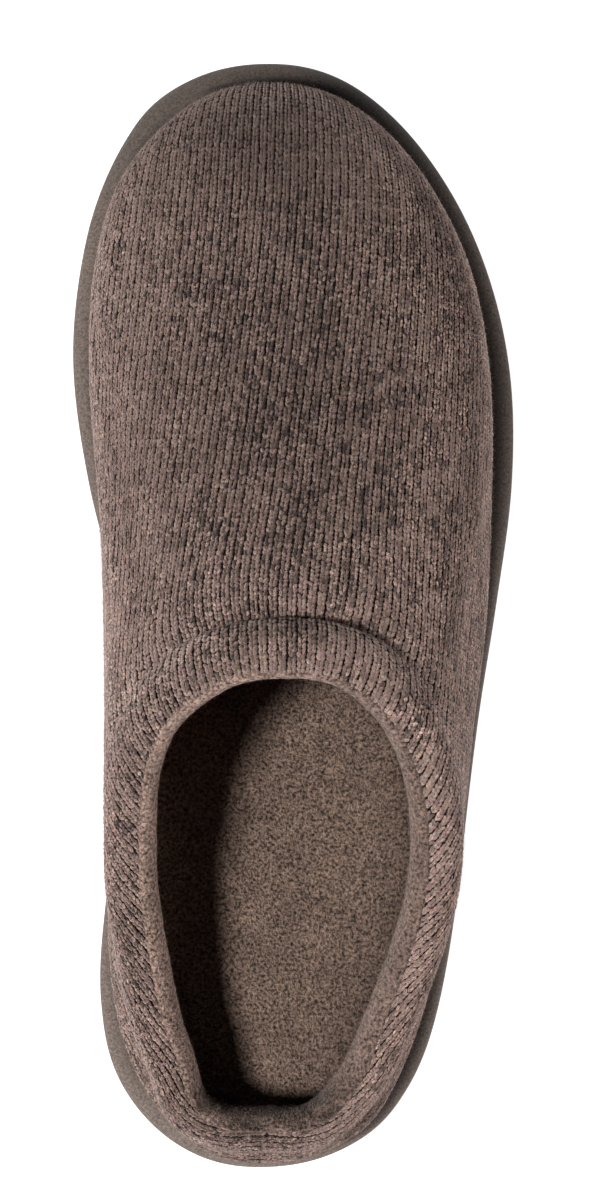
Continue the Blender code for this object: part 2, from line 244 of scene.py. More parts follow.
# Points round the pieces, and rows of their rings
SOLE_AROUND = 360
INSOLE_AROUND = 660
BODY_AROUND = 200
KNIT_AROUND = 320
FUZZ_AROUND = 160
LINING_AROUND = 340
FLOOR_EDGE_ROWS, SIDE_ROWS, RIM_ROWS, CREST_ROWS, GUTTER_ROWS, BED_ROWS = 6, 7, 10, 4, 3, 3
INSOLE_ROWS = 6
FOOT_ROWS = 7
VAMP_ROWS = 52
BODY_ROLL_ROWS = 40
KNIT_ROLL_ROWS = 28
LINING_ROLL_ROWS = 28
JOINT_AROUND = 240  # points of the lines that shades are measured from
EDGE_AROUND = 180
NOISE_CELLS = 32

# Looks of the cloths and the rubber: sizes in metres, and shares of a piece's own colour
YARN_SPECK_SIZE = 0.00048
YARN_MOTTLE_SIZE = 0.011
YARN_NAP = 0.00022
YARN_SPECKS = ((0, 0.08), (0.5, 0.95), (1, 2.25))
YARN_EVEN_SPECK = 0.95
YARN_MOTTLE = ((0, 0.88), (1, 1.12))
YARN_TINTS = ((1.0, 0.93, 0.98), (1.0, 1.02, 0.94))
MID_YARN_PLACE = 0.45
YARN_SHEEN_TINT = (1.0, 0.84, 0.78)
WOOL_PITCH = 0.002
WOOL_LIGHTNESS = 1.35
WOOL_SHEEN = 0.2
WOOL_SHEEN_TINT = (0.80, 0.70, 0.66)
GROUND_SPECK_SIZE = 0.0006
GROUND_MOTTLE_SIZE = 0.010
GROUND_NAP = 0.0002
# the knit's back is darker than the darkest yarn: painted shade in the gaps
GROUND_PAINTED_SHADE = 0.35
GROUND_SHEEN = 0.1
GROUND_SHEEN_TINT = (0.6, 0.5, 0.45)
FLEECE_MOTTLE_SIZE = 0.009
FLEECE_NAP = 0.0006
FLEECE_SPECKS = (0.14, 1.96)
FLEECE_MOTTLE = ((0, 0.82), (1, 1.16))
FLEECE_FINE_NAP = 0.35
FLEECE_SHEEN_TINT = (0.78, 0.68, 0.62)
INSOLE_SHEEN = 0.15
LINING_SHEEN = 0.35
LINING_SPECKS = 1.1  # size of the lining's specks, in loops of the footbed
LINING_PILE_PITCH, LINING_CLUMP_PITCH = 0.0016, 0.005
GRAIN_PITCH = 0.0006
GRAIN_DETAIL = 3.0
GRAIN_ROUGHNESS = 0.65
GRAIN_HEIGHT = 0.00018
GRAIN_SPECKS = ((0.28, 0.3), (0.72, 1.9))
SCUFF_PITCH = 0.014
SCUFF_SHARES = (0.6, 1.0)
RUBBER_ROUGHNESS = (0.72, 0.92)
RUBBER_SPECULAR = 0.3
FIBRE_CONTRAST = {"From Min": 0.3, "From Max": 0.7}
FIBRE_ROUGHNESS = 0.6
FIBRE_DETAILS = (1.5, 3.0, 2.0)  # of specks, mottle and nap
FIBRE_SIZES = {"Speck Size": 0.0006, "Mottle Size": 0.012}
CLOTH_CONSTANTS = {"Roughness": 0.95, "Specular IOR Level": 0.15, "Sheen Roughness": 0.42}
MIX_COLOUR_INPUTS = (0, 6, 7)  # factor and both colours among a mix node's sockets
MIX_COLOUR_OUTPUT = 2
TABLE_ROUGHNESS = 0.9
TABLE_HALF_SIZE = 6.0
SUN_COLOUR = (1.0, 0.985, 0.965)

# Painted light and shade on the yarn: spots that make it darker where less light falls (the vamp's middle,
# the toe, a painted shade below the throat's tuck, the heel) and lighter on the sides, the quarters and the
# throat's roll; and where
# wear and loose wool make it more even: a spot's middle and reach, the painted gain that it adds and how even
# the yarn is there
PaintedLightSpot = namedtuple("PaintedLightSpot", "x y reach_x reach_y gain evenness")
PAINTED_LIGHT_SPOTS = (
    PaintedLightSpot(0.000, 0.060, 0.042, 0.055, -0.43, 0.00),
    PaintedLightSpot(0.000, 0.124, 0.056, 0.021, -0.42, 0.80),
    PaintedLightSpot(0.042, -0.060, 0.026, 0.058, 0.57, 0.65),
    PaintedLightSpot(0.030, -0.122, 0.026, 0.020, 0.55, 0.50),
    PaintedLightSpot(0.052, 0.040, 0.022, 0.055, 0.29, 0.55),
    PaintedLightSpot(0.036, 0.126, 0.024, 0.018, 0.50, 0.30),
    PaintedLightSpot(0.000, 0.1370, 0.050, 0.0050, 0.08, 3.00),
    PaintedLightSpot(-0.045, -0.040, 0.016, 0.060, 0.12, 0.20),
    PaintedLightSpot(-0.046, 0.052, 0.018, 0.060, 0.12, 0.90),
    PaintedLightSpot(0.000, -0.003, 0.050, 0.016, 0.25, 0.20),
    PaintedLightSpot(0.002, -0.0030, 0.026, 0.0038, -0.57, 0.00),
    PaintedLightSpot(0.000, -0.0130, 0.032, 0.0055, 0.08, 0.75),
    PaintedLightSpot(-0.005, -0.138, 0.040, 0.014, -0.20, 0.20),
)
FUZZ_LEAST_TONE = 0.25  # loose wool takes the yarn's painted light and shade, but is no darker than this
SHEEN_BY_TONE = 1.9  # sheen of the lightest yarn, as a share of its setting
EVEN_LEAST = 0.12  # evenness away from the spots
EVEN_PATCHES = 0.70  # how much evenness varies from stitch to stitch
EVEN_SHADES = 0.50  # how much closer the shades of the legs are where the yarn is even
EVEN_SPECKS = 0.55  # and the specks of fibre
EVEN_GROOVE_SHADE = 0.75  # and a leg's painted shade at its edges, to its middle
EVEN_FLATTENING = 0.45  # how much flatter the legs lie there
EVEN_GIRTH = 0.14  # and how much fuller they are
EVEN_PAINTED_SHADE = 0.20  # and how much darker: painted shade that makes up for the shade of the gaps that close
YARN_GAIN = 1.19
LEAST_GAIN = 0.1
FULL_GAIN = 2.4
LIGHT_BEARING_DEG = 193.0
AWAY_FROM_LIGHT = -np.array([cos(radians(LIGHT_BEARING_DEG)), sin(radians(LIGHT_BEARING_DEG))])
STEEP_WALL = (0.15, 0.60)  # upright parts of the knit's normals, from a wall to a slope
LEE_PAINTED_LIGHT = 0.85  # painted light on walls that are turned from the light
LEE_FACING = (0.1, 0.7)
GAP_PAINTED_SHADE = 0.75  # painted shade: how much darker a leg's edges are on walls, between the stitches
WALL_FLATTENING = 0.35  # how much flatter the stitches lie on walls
BACK_SEAM_DIMMING = 0.35
BACK_SEAM_WIDTH = 0.0009
BACK_SEAM_END = 0.9  # share of the way to the heel's end where the seam begins

# Unevenness of the legs of the stitches, as spreads of random draws, and patches of like stitches
LEG_GIRTH_SPREAD = 0.13
LEG_SLANT_SPREAD = 0.06
LEG_SHIFT_SPREADS = (0.032, 0.09)  # in wales and courses
LEG_LIFT_SPREAD = 0.20  # in yarn reliefs
SHADE_MIDDLE = 0.56
SHADE_PATCHES = 0.20
SHADE_SPREAD = 0.30
FINE_PATCHES = 0.7
EVEN_PATCH_PITCH, PATCH_PITCH, FINE_PATCH_PITCH = 0.0026, 0.0045, 0.0022
EVEN_PATCH_SHAPE, PATCH_SHAPE = (1, 0.55, 1), (1, 0.45, 1)  # how patches are drawn out along the wales
LEG_MAP_MARGIN = 0.05

# Painted shade on the rubber where less light falls: how much darker it is, from one x and station to another
SolePaintedShade = namedtuple("SolePaintedShade", "x_start x_end station_start station_end dimming")
EVERYWHERE = (-1.0, -0.9)
SOLE_PAINTED_SHADES = (
    SolePaintedShade(*EVERYWHERE, 0.02, 0.28, 0.20),
    SolePaintedShade(0.000, 0.040, *EVERYWHERE, 0.10),
    SolePaintedShade(0.000, 0.040, 0.55, 0.70, 0.18),
    SolePaintedShade(*EVERYWHERE, 0.80, 0.97, 0.36),
    SolePaintedShade(-0.005, 0.020, 0.86, 0.97, 0.58),
)
TOE_SHADOW_PLACE = 0.0015  # a painted shadow line at the toe, outside the knit's widest line
TOE_SHADOW_WIDTH = 0.0011
TOE_SHADOW_STATIONS = (0.962, 0.976)
TOE_PAINTED_SHADOW = 0.9
SHADED_SIDE = (0.002, 0.009)  # the side takes the painted shades between these heights above the floor edge

# The camera that took the photograph
CAMERA_PLACE = (0.0004, 0.00395, 1.31)
CAMERA_FIELD_DEG = 13.87

HEEL_END_Y = -SOLE_LENGTH / 2
UP = np.array([0.0, 0.0, 1.0])


# Shape of the last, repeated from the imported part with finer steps

def smooth(share):
    """A share from 0 to 1 that starts and ends gently."""
    return share**2 * (3 - 2 * share)


def bell(distance, reach):
    """1 in the middle, and fading with distance."""
    return np.exp(-((distance / reach) ** 2))


def smooth_column(rows, column, at):
    """A table's column, read at any places along its first column on a smooth curve through the rows."""
    places = np.array([row[0] for row in rows])
    values = np.array([getattr(row, column) for row in rows])
    slopes = np.gradient(values, places)
    slopes[[0, -1]] = 0
    at = np.clip(at, places[0], places[-1])
    row = np.clip(np.searchsorted(places, at) - 1, 0, len(places) - 2)
    step = places[row + 1] - places[row]
    share = (at - places[row]) / step
    rising = smooth(share)
    leaving = share * (1 - share) ** 2 * step * slopes[row]
    arriving = -(share**2) * (1 - share) * step * slopes[row + 1]
    return values[row] * (1 - rising) + values[row + 1] * rising + leaving + arriving


def ease(value, start, end):
    """0 before start, 1 after end, and a smooth step between."""
    return smooth(np.clip((value - start) / (end - start), 0, 1))


def plateau(value, start, full, fading, end):
    """1 from full to fading, and 0 before start and after end."""
    return ease(value, start, full) * (1 - ease(value, fading, end))


def half_breadth(rows, column, station, end_powers):
    """A half-breadth in metres, rounded to nothing at both ends of the length."""
    def fullness(at):
        return (4 * at * (1 - at)) ** np.interp(at, (0, 1), end_powers)

    filled = [row._replace(**{column: getattr(row, column) / fullness(row[0])}) for row in rows]
    return BALL_WIDTH * fullness(station) * smooth_column(filled, column, station)


def side_breadth(rows, columns, station, end_powers, outer):
    """Half-breadths on the outer side where outer is true, and on the inner side elsewhere."""
    medial, lateral = (half_breadth(rows, column, station, end_powers) for column in columns)
    return np.where(outer, lateral, medial)


def shares(count):
    """Equal shares of the way, up to the whole."""
    return np.linspace(0, 1, count + 1)[1:]


def turn_angles(around):
    """Angles round the shoe: 0 at the heel, pi at the toe by the outer side, then back by the inner side."""
    return np.arange(around) * 2 * pi / around


def turn_of(angles):
    """0 at the back of the heel, 1 at the throat, on either side."""
    return 1 - np.abs(angles / pi - 1)


def ring_plan(angles, rows, columns, end_powers, axis_x, y):
    """Plan points at both sides of an axis, at half-breadths from a table."""
    station = (1 - np.cos(angles)) / 2
    outer = angles <= pi
    breadth = side_breadth(rows, columns, station, end_powers, outer)
    return np.stack([axis_x + np.where(outer, breadth, -breadth), y], axis=1)


def foot_plan(angles, length, heel_y, columns):
    y = heel_y + length * (1 - np.cos(angles)) / 2
    axis_x = np.interp(y, (HEEL_END_Y, -HEEL_END_Y), FOOT_AXIS_X)
    return ring_plan(angles, FOOT_SECTIONS, columns, FOOT_END_POWERS, axis_x, y)


def sole_plan(angles):
    """The sole's edge."""
    return foot_plan(angles, SOLE_LENGTH, HEEL_END_Y, SOLE_SIDES)


def widest_plan(angles):
    """The upper's widest line."""
    return foot_plan(angles, UPPER_LENGTH, HEEL_END_Y + UPPER_HEEL_SETBACK, UPPER_SIDES)


def opening_plan(angles):
    """The edge of the opening."""
    station = (1 - np.cos(angles)) / 2
    axis_x = np.interp(station, (0, 1), OPENING_AXIS_X)
    y = HEEL_END_Y + OPENING_HEEL_SETBACK + OPENING_LENGTH * station
    return ring_plan(angles, OPENING_SECTIONS, ("medial", "lateral"), OPENING_END_POWERS, axis_x, y)


def unit(vectors):
    return vectors / np.linalg.norm(vectors, axis=-1, keepdims=True)


def steps_across(points, axis):
    """From the point before to the point after, along a closed axis of a grid."""
    return np.roll(points, -1, axis=axis) - np.roll(points, 1, axis=axis)


def along(ring):
    """Unit tangents of a closed ring of points."""
    return unit(steps_across(ring, 0))


def outward(plan):
    """Unit normals of a closed plan ring that runs anticlockwise from above."""
    tangent = along(plan)
    return np.stack([tangent[:, 1], -tangent[:, 0]], axis=1)


def station_of(y):
    return (y - HEEL_END_Y) / SOLE_LENGTH


def toe_lift(station):
    return TOE_SPRING * np.clip((station - TOE_SPRING_START) / (1 - TOE_SPRING_START), 0, 1) ** 2


def floor_height(y):
    """The sole's underside: flat under heel and ball, raised at the arch and the toe."""
    station = station_of(y)
    start, end = ARCH_STATIONS
    middle = (start + end) / 2
    return ARCH_RISE * plateau(station, start, middle, middle, end) + toe_lift(station)


def bed_height(y):
    """The sole's top, which upper and insole stand on."""
    station = station_of(y)
    fall = ease(station, *HEEL_SLOPE_STATIONS)
    return HEEL_THICKNESS + (FOREFOOT_THICKNESS - HEEL_THICKNESS) * fall + toe_lift(station)


def raised(plan, height):
    """Plan points lifted to a height, or to one height each."""
    return np.column_stack([plan, np.broadcast_to(height, len(plan))])


def hermite(start, end, leave, arrive, places):
    """Rings between two rings, leaving and arriving along the given vectors."""
    rings = []
    for share in places:
        rising = smooth(share)
        bend = leave * share * (1 - share) ** 2 - arrive * share**2 * (1 - share)
        rings.append(start * (1 - rising) + end * rising + bend)
    return rings


CollarFrame = namedtuple("CollarFrame", "core along_wall out_of_wall section")


def collar_frame(angles):
    """The roll's core line, its directions up the wall and out of it, and its section at each angle."""
    turn = turn_of(angles)
    section = CollarSection(*(smooth_column(COLLAR_SECTIONS, name, turn) for name in CollarSection._fields))
    lean = np.radians(section.lean)
    top = HEEL_HEIGHT + section.rise * (INSTEP_HEIGHT - HEEL_HEIGHT)
    inner_reach = np.hypot(COLLAR_HALF_DEPTH * np.sin(lean), section.inner * np.cos(lean))
    top_reach = np.hypot(COLLAR_HALF_DEPTH * np.cos(lean), section.outer * np.sin(lean))
    edge = opening_plan(angles)
    out = raised(outward(edge), 0)
    core = raised(edge, top - top_reach) + out * inner_reach[:, None]
    along_wall = -out * np.sin(lean)[:, None] + UP * np.cos(lean)[:, None]
    out_of_wall = out * np.cos(lean)[:, None] + UP * np.sin(lean)[:, None]
    return CollarFrame(core, along_wall, out_of_wall, section)


def collar_ring(collar, degrees):
    """One ring on the roll: 90 is its outer swell, 0 its nose at the opening and -90 its inner swell."""
    turn = np.radians(degrees)[:, None]
    swell = np.where(degrees >= 0, collar.section.outer, collar.section.inner)[:, None]
    nose = collar.along_wall * COLLAR_HALF_DEPTH * np.cos(turn)
    return collar.core + nose + collar.out_of_wall * swell * np.sin(turn)


def roll_rings(collar, start, end, places):
    """Rings round the roll between two angles of its section."""
    return [collar_ring(collar, start + share * (end - start)) for share in places]


def tuck_arrival(collar):
    """The way the outer skin comes up to the roll: along the wall at a tuck, along the roll elsewhere."""
    section = collar.section
    swing = -section.outer / (COLLAR_HALF_DEPTH * np.tan(np.radians(section.tuck)))
    swing = swing * (1 - ease(section.tuck, *TUCK_FADES_DEG))
    return collar.along_wall + collar.out_of_wall * swing[:, None]


def upper_foot(plan):
    """Where the upper's skin stands on the sole: inside the plan of its widest line and the sole's edge."""
    inset_plan = plan - outward(plan) * FEATHER_INSET
    station = np.clip(station_of(inset_plan[:, 1]), *END_STATIONS)
    axis = np.interp(station, (0, 1), FOOT_AXIS_X)
    reach = np.abs(inset_plan[:, 0] - axis)
    medial = inset_plan[:, 0] < axis
    room = side_breadth(FOOT_SECTIONS, SOLE_SIDES, station, FOOT_END_POWERS, ~medial) - FEATHER_MARGIN
    kept = np.minimum(reach, room)
    foot = np.column_stack([axis + np.where(medial, -kept, kept), inset_plan[:, 1]])
    return raised(foot, bed_height(foot[:, 1]) + GAP)


FOOT_SHARES = shares(FOOT_ROWS)
VAMP_STEPS = shares(VAMP_ROWS)
# Rows of the vamp, closer at the foot and at the tuck
VAMP_SHARES = VAMP_STEPS - VAMP_CROWDING * np.sin(2 * pi * VAMP_STEPS) / (2 * pi)
TUCK_ROW = len(FOOT_SHARES) + len(VAMP_SHARES)


def upper_outer_rings(angles):
    """The upper's outer skin from its foot on the sole, over its widest line, to the collar's tuck."""
    plan = widest_plan(angles - FAN * np.sin(angles))
    widest = raised(plan, bed_height(plan[:, 1]) + GAP + BULGE_HEIGHT)
    foot = upper_foot(plan)
    collar = collar_frame(angles)
    tuck = collar_ring(collar, collar.section.tuck)
    span = tuck - widest
    widest_along = along(widest)
    tuck_along = along(tuck)
    slip = (span * widest_along).sum(axis=1, keepdims=True)
    tuck_slip = (span * tuck_along).sum(axis=1, keepdims=True)
    reach = np.linalg.norm(span - slip * widest_along, axis=1, keepdims=True)
    leave = UP * reach * TOE_FULLNESS + widest_along * slip
    arrive = tuck_arrival(collar) * reach * INSTEP_PULL + tuck_along * tuck_slip
    swelling = (widest - foot) * (1, 1, 0)
    foot_leave = UP * BULGE_HEIGHT * FOOT_LEAVE_RISE + swelling * FOOT_LEAVE_SWELL
    below = hermite(foot, widest, foot_leave, UP * BULGE_HEIGHT * WIDEST_ARRIVE_RISE, FOOT_SHARES)
    return [foot, *below, *hermite(widest, tuck, leave, arrive, VAMP_SHARES)], collar


def skin_normals(rings):
    """Outward normals of a stack of closed rings."""
    points = np.array(rings)
    return unit(np.cross(steps_across(points, 1), np.gradient(points, axis=0)))


def inside_rings(rings, collar, depth):
    """The outer skin's rings moved in by a depth, and bent to meet the padded roll on its inner side."""
    normals = skin_normals(rings)
    normals[0, :, 2] = 0
    normals[0] = unit(normals[0])
    moved = np.array(rings) - normals * depth
    moved[0, :, 2] = bed_height(moved[0, :, 1]) + GAP
    padding = collar_ring(collar, -collar.section.inner_tuck) - moved[-1]
    heights = np.concatenate([np.zeros(len(FOOT_SHARES) + 1), VAMP_SHARES])
    return list(moved + padding * (heights**PADDING_FADE)[:, None, None])


def ring_at_height(rings, heights):
    """The points of a stack of rings at given heights, one for each point round the ring."""
    stack = np.array(rings)
    found = [
        [np.interp(height, stack[:, i, 2], stack[:, i, axis]) for axis in range(2)]
        for i, height in enumerate(heights)
    ]
    return raised(np.array(found), heights)


def lattice_noise(points, pitch, seed):
    """Smooth noise from -1 to 1 at points, with bumps about a pitch apart."""
    size = NOISE_CELLS
    table = np.random.default_rng(seed).random((size, size, size)) * 2 - 1
    cell = np.floor(points / pitch).astype(int)
    share = points / pitch - cell
    share = smooth(share)
    total = 0.0
    for corner in np.ndindex(2, 2, 2):
        weight = np.prod(np.where(corner, share, 1 - share), axis=-1)
        i, j, k = np.moveaxis((cell + corner) % size, -1, 0)
        total = total + weight * table[i, j, k]
    return total


# Flat pattern of the knit

def wale_directions(points, normals, angles):
    """The way the wales run over the skin, from the toe back to the heel, square to the normals."""
    turn = np.broadcast_to(turn_of(angles), points.shape[:2])
    side = np.where(angles <= pi, -1.0, 1.0)[None, :, None]
    to_heel = unit(steps_across(points, 1)) * side
    climb = np.cross(normals, to_heel) * side
    rim_angle = np.radians(smooth_column(SEAM_SECTIONS, "wale_climb", turn))[..., None]
    by_rim = np.cos(rim_angle) * to_heel + np.sin(rim_angle) * climb

    corner_share = 1 - ease(points[..., 1], *CORNER_LEAN_Y)
    across = np.clip(points[..., 0] / (BALL_WIDTH / 2), -1, 1)
    spread = WALE_LEAN_SPREAD_DEG * corner_share * across
    lean = np.radians(smooth_column(LEAN_SECTIONS, "lean", points[..., 1]) + spread)
    rise = np.interp(np.clip(normals[..., 1], 0, 1) ** 2, (0, 1), WALE_CLIMB)
    straight = np.stack([-np.sin(lean), -np.cos(lean), rise], axis=-1)
    straight = straight - (straight * normals).sum(axis=-1, keepdims=True) * normals

    height = np.clip(np.arange(len(points)) / TUCK_ROW, 0, 1)[:, None]
    vamp_share = ease(turn, *VAMP_TURNS) * (1 - ease(height, *VAMP_HEIGHTS))
    return unit(by_rim * (1 - vamp_share[..., None]) + unit(straight) * vamp_share[..., None])


def lay_flat(points, slope):
    """One flat coordinate of a grid of points, which rises along the slope as well as it can.

    Least squares over the grid's edges, solved by conjugate gradients.
    """
    steps = [np.diff(points, axis=axis) for axis in (0, 1)]
    means = [(slope[1:] + slope[:-1]) / 2, (slope[:, 1:] + slope[:, :-1]) / 2]
    rises = [(step * mean).sum(axis=-1) for step, mean in zip(steps, means)]
    lengths = [np.linalg.norm(step, axis=-1) for step in steps]
    row_length = np.pad(lengths[0], ((0, 1), (0, 0)), mode="edge")
    column_length = np.pad(lengths[1], ((0, 0), (0, 1)), mode="edge")
    weights = [column_length[:-1] / lengths[0], row_length[:, :-1] / lengths[1]]

    def gather(rows, columns, start_sign=-1):
        total = np.zeros(points.shape[:2])
        total[1:] += rows
        total[:-1] += start_sign * rows
        total[:, 1:] += columns
        total[:, :-1] += start_sign * columns
        return total

    def pull(flat):
        return gather(weights[0] * np.diff(flat, axis=0), weights[1] * np.diff(flat, axis=1))

    stiffness = gather(*weights, 1)
    flat = np.zeros(points.shape[:2])
    left = gather(weights[0] * rises[0], weights[1] * rises[1])
    eased = left / stiffness
    way = eased
    gain = (left * eased).sum()
    for _ in range(FLAT_ROUNDS):
        pulled = pull(way)
        stride = gain / (way * pulled).sum()
        flat = flat + stride * way
        left = left - stride * pulled
        eased = left / stiffness
        last_gain, gain = gain, (left * eased).sum()
        if gain < FLAT_PRECISION:
            break
        way = eased + gain / last_gain * way
    return flat


def crowded(across):
    """Flat places across the wales, drawn out on the sides so that the wales lie closer there."""
    share = np.clip(np.abs(across) / SIDE_START, 0, 1)
    beyond = np.clip(np.abs(across) - SIDE_START, 0, None)
    return across + np.sign(across) * SIDE_CROWDING * (SIDE_START * (share**3 - share**4 / 2) + beyond)


def seam_angles(angles):
    """Where the lining's edge lies on the collar roll, in degrees round its section."""
    turn = turn_of(angles)
    lateral = smooth_column(SEAM_SECTIONS, "seam_lateral", turn)
    return np.where(angles <= pi, lateral, smooth_column(SEAM_SECTIONS, "seam_medial", turn))


KnitSkin = namedtuple("KnitSkin", "points normals flat")


def knit_skin(around):
    """The knit's skin from the foot over the tuck to just under the lining's edge, and its flat pattern.

    The grid is cut at the back of the heel, so its first and last columns lie on the same line.
    """
    angles = turn_angles(around)
    outer, collar = upper_outer_rings(angles)
    turn = turn_of(angles)
    overlap = np.interp(ease(turn, *LINING_OVERLAP_TURNS), (0, 1), LINING_OVERLAPS_DEG)
    knit_end = seam_angles(angles) - overlap
    roll = roll_rings(collar, collar.section.tuck, knit_end, shares(KNIT_ROLL_ROWS))
    points = with_tuck_ditch(np.array([*outer, *roll]), turn)
    normals = skin_normals(points)
    wales = wale_directions(points, normals, angles)
    cut = np.concatenate([np.arange(around), [0]])
    points, normals, wales = points[:, cut], normals[:, cut], wales[:, cut]
    wales[:, -1] = mirrored_at_heel(wales[:, 0])
    across = lay_flat(points, np.cross(normals, wales))
    back = lay_flat(points, wales)
    toe = around // 2
    across = crowded(across - across[TUCK_ROW, toe])
    return KnitSkin(points, normals, np.stack([across, back], axis=-1))


def mirrored_at_heel(wales):
    """The wale directions on the other side of the centre-back line."""
    return wales * (-1, 1, 1)


def with_tuck_ditch(points, turn):
    """Presses the skin in along the collar's tuck at the throat, and softens the tuck elsewhere."""
    near = bell(np.arange(len(points)) - TUCK_ROW, TUCK_SOFT_ROWS)[:, None]
    soft = (near * (1 - ease(turn, *TUCK_TURNS)))[..., None]
    for _ in range(TUCK_SOFTENING):
        middle = (points[2:] + points[:-2]) / 2
        moved = points[1:-1] + 0.5 * soft[1:-1] * (middle - points[1:-1])
        points = np.concatenate([points[:1], moved, points[-1:]])
    normals = skin_normals(points)
    crease = unit(normals[TUCK_ROW - TUCK_BESIDE_ROWS] + normals[TUCK_ROW + TUCK_BESIDE_ROWS])
    run = np.linalg.norm(np.diff(points, axis=0), axis=-1)
    distance = np.concatenate([np.zeros((1, len(turn))), np.cumsum(run, axis=0)])
    distance -= distance[TUCK_ROW]
    depth = TUCK_DEPTH * ease(turn, *TUCK_TURNS) * bell(distance, TUCK_WIDTH)
    return points - depth[..., None] * crease


Stitches = namedtuple("Stitches", "place across back normal flat")


def place_stitches(skin, columns, wale, course):
    """The stitches on part of the skin, with the steps in space for a step across and along a wale."""
    points, normals, flat = (grid[:, columns] for grid in (skin.points, skin.normals, skin.flat))
    rows, count = flat.shape[:2]
    corner = (np.arange(rows - 1)[:, None] * count + np.arange(count - 1)).ravel()
    low = np.stack([corner, corner + 1, corner + count + 1], axis=1)
    high = np.stack([corner, corner + count + 1, corner + count], axis=1)
    triangles = np.concatenate([low, high])
    points, normals, flat = (grid.reshape(-1, grid.shape[-1]) for grid in (points, normals, flat))
    tree = BVHTree.FromPolygons(np.column_stack([flat, np.zeros(len(flat))]).tolist(), triangles.tolist())
    first = np.floor(flat.min(axis=0) / (wale, course)).astype(int)
    last = np.ceil(flat.max(axis=0) / (wale, course)).astype(int)
    down = Vector((0, 0, -1))
    spots, faces = [], []
    for i in range(first[0], last[0]):
        for j in range(first[1], last[1]):
            spot = ((i + 0.5) * wale, (j + 0.5) * course)
            face = tree.ray_cast(Vector((*spot, 1)), down)[2]
            if face is not None:
                spots.append(spot)
                faces.append(face)
    spots = np.array(spots)
    corners = triangles[faces]
    flat_edges = flat[corners[:, 1:]] - flat[corners[:, :1]]
    edges = points[corners[:, 1:]] - points[corners[:, :1]]
    inverse = np.linalg.inv(flat_edges)
    inside = np.einsum("ni,nij->nj", spots - flat[corners[:, 0]], inverse)
    place = points[corners[:, 0]] + np.einsum("nj,njk->nk", inside, edges)
    steps = np.einsum("nij,njk->nik", inverse, edges)
    size = np.linalg.norm(steps, axis=-1, keepdims=True)
    steps = steps / size * np.clip(size, *STITCH_STRETCH)
    weights = np.column_stack([1 - inside.sum(axis=1), inside])
    normal = unit(np.einsum("nk,nkj->nj", weights, normals[corners]))
    return Stitches(place, steps[:, 0], steps[:, 1], normal, spots)


# One leg of a stitch as rings along its yarn, from the point of the V to its top.
# back: in courses. across: from the middle of the wale, in wales. height: in yarn reliefs.
# girth: share of the yarn. tone: share of the colour, with painted shade where the yarn dips below the next
# stitch.
LegRing = namedtuple("LegRing", "back across height girth tone")
LEG_RINGS = (
    LegRing(0.76, 0.10, -0.07, 0.0, 0.42),
    LegRing(0.42, 0.155, 0.27, 0.81, 0.88),
    LegRing(0.02, 0.215, 0.36, 1.0, 1.0),
    LegRing(-0.40, 0.262, 0.09, 0.80, 0.78),
    LegRing(-0.72, 0.297, -0.45, 0.0, 0.35),
)
LEG_CORNERS = ((-1, 0), (0, 1), (1, 0))  # across and up, round the yarn
LEG_MAP_BREAKS = (0.0, 0.45, 0.9, 1.0)  # where those corners lie on the map of one leg, and the first again


LegTemplate = namedtuple("LegTemplate", "points normals tones faces spread")


def leg_template(wale, course, yarn, relief):
    """A right-hand stitch leg: points as (across, back, up), normals, tones, faces and the faces' map."""
    tail, *middle, head = LEG_RINGS

    def ring_points(ring, corners):
        centre = np.array([ring.across * wale, ring.back * course, ring.height * relief])
        half = np.array([yarn / 2, 0, relief]) * ring.girth
        return [centre + half * (side, 0, up) for side, up in corners]

    points = ring_points(tail, [(0, 0)])
    for ring in middle:
        points += ring_points(ring, LEG_CORNERS)
    points += ring_points(head, [(0, 0)])
    count = len(LEG_CORNERS)
    step = 1 / (len(middle) + 1)
    faces, spread = [], []
    for k in range(count):
        after = (k + 1) % count
        left, right = LEG_MAP_BREAKS[k:k + 2]
        centre = (left + right) / 2
        faces.append((0, 1 + after, 1 + k))
        spread.append(((centre, 0), (right, step), (left, step)))
        for r in range(len(middle) - 1):
            low = 1 + r * count
            start, end = (r + 1) * step, (r + 2) * step
            faces.append((low + k, low + after, low + count + after, low + count + k))
            spread.append(((left, start), (right, start), (right, end), (left, end)))
        last = 1 + (len(middle) - 1) * count
        faces.append((last + k, last + after, len(points) - 1))
        spread.append(((left, 1 - step), (right, 1 - step), (centre, 1)))
    normals = [(0, 1, 0), *[(side, 0, up) for _ in middle for side, up in LEG_CORNERS], (0, -1, 0)]
    tones = [tail.tone, *[ring.tone for ring in middle for _ in LEG_CORNERS], head.tone]
    return LegTemplate(np.array(points), np.array(normals, float), np.array(tones), faces, spread)


# Materials

def set_inputs(tree, node, values):
    """Sets a node's inputs to values, or links them from sockets."""
    for name, value in values.items():
        if isinstance(value, bpy.types.NodeSocket):
            tree.links.new(value, node.inputs[name])
        else:
            node.inputs[name].default_value = value


def add_node(tree, kind, values=None, **settings):
    """A node with its settings and inputs."""
    made = tree.nodes.new(kind)
    for name, value in settings.items():
        setattr(made, name, value)
    set_inputs(tree, made, values or {})
    return made


def blend(tree, factor, first, second, mode="MIX"):
    """A colour mixed from two."""
    mix = add_node(tree, "ShaderNodeMix", data_type="RGBA", blend_type=mode)
    set_inputs(tree, mix, dict(zip(MIX_COLOUR_INPUTS, (factor, first, second))))
    return mix.outputs[MIX_COLOUR_OUTPUT]


def times(tree, colour, other):
    """A colour multiplied by another."""
    return blend(tree, 1.0, colour, other, "MULTIPLY")


def product(tree, value, other):
    """A value multiplied by another."""
    return add_node(tree, "ShaderNodeMath", {0: value, 1: other}, operation="MULTIPLY").outputs[0]


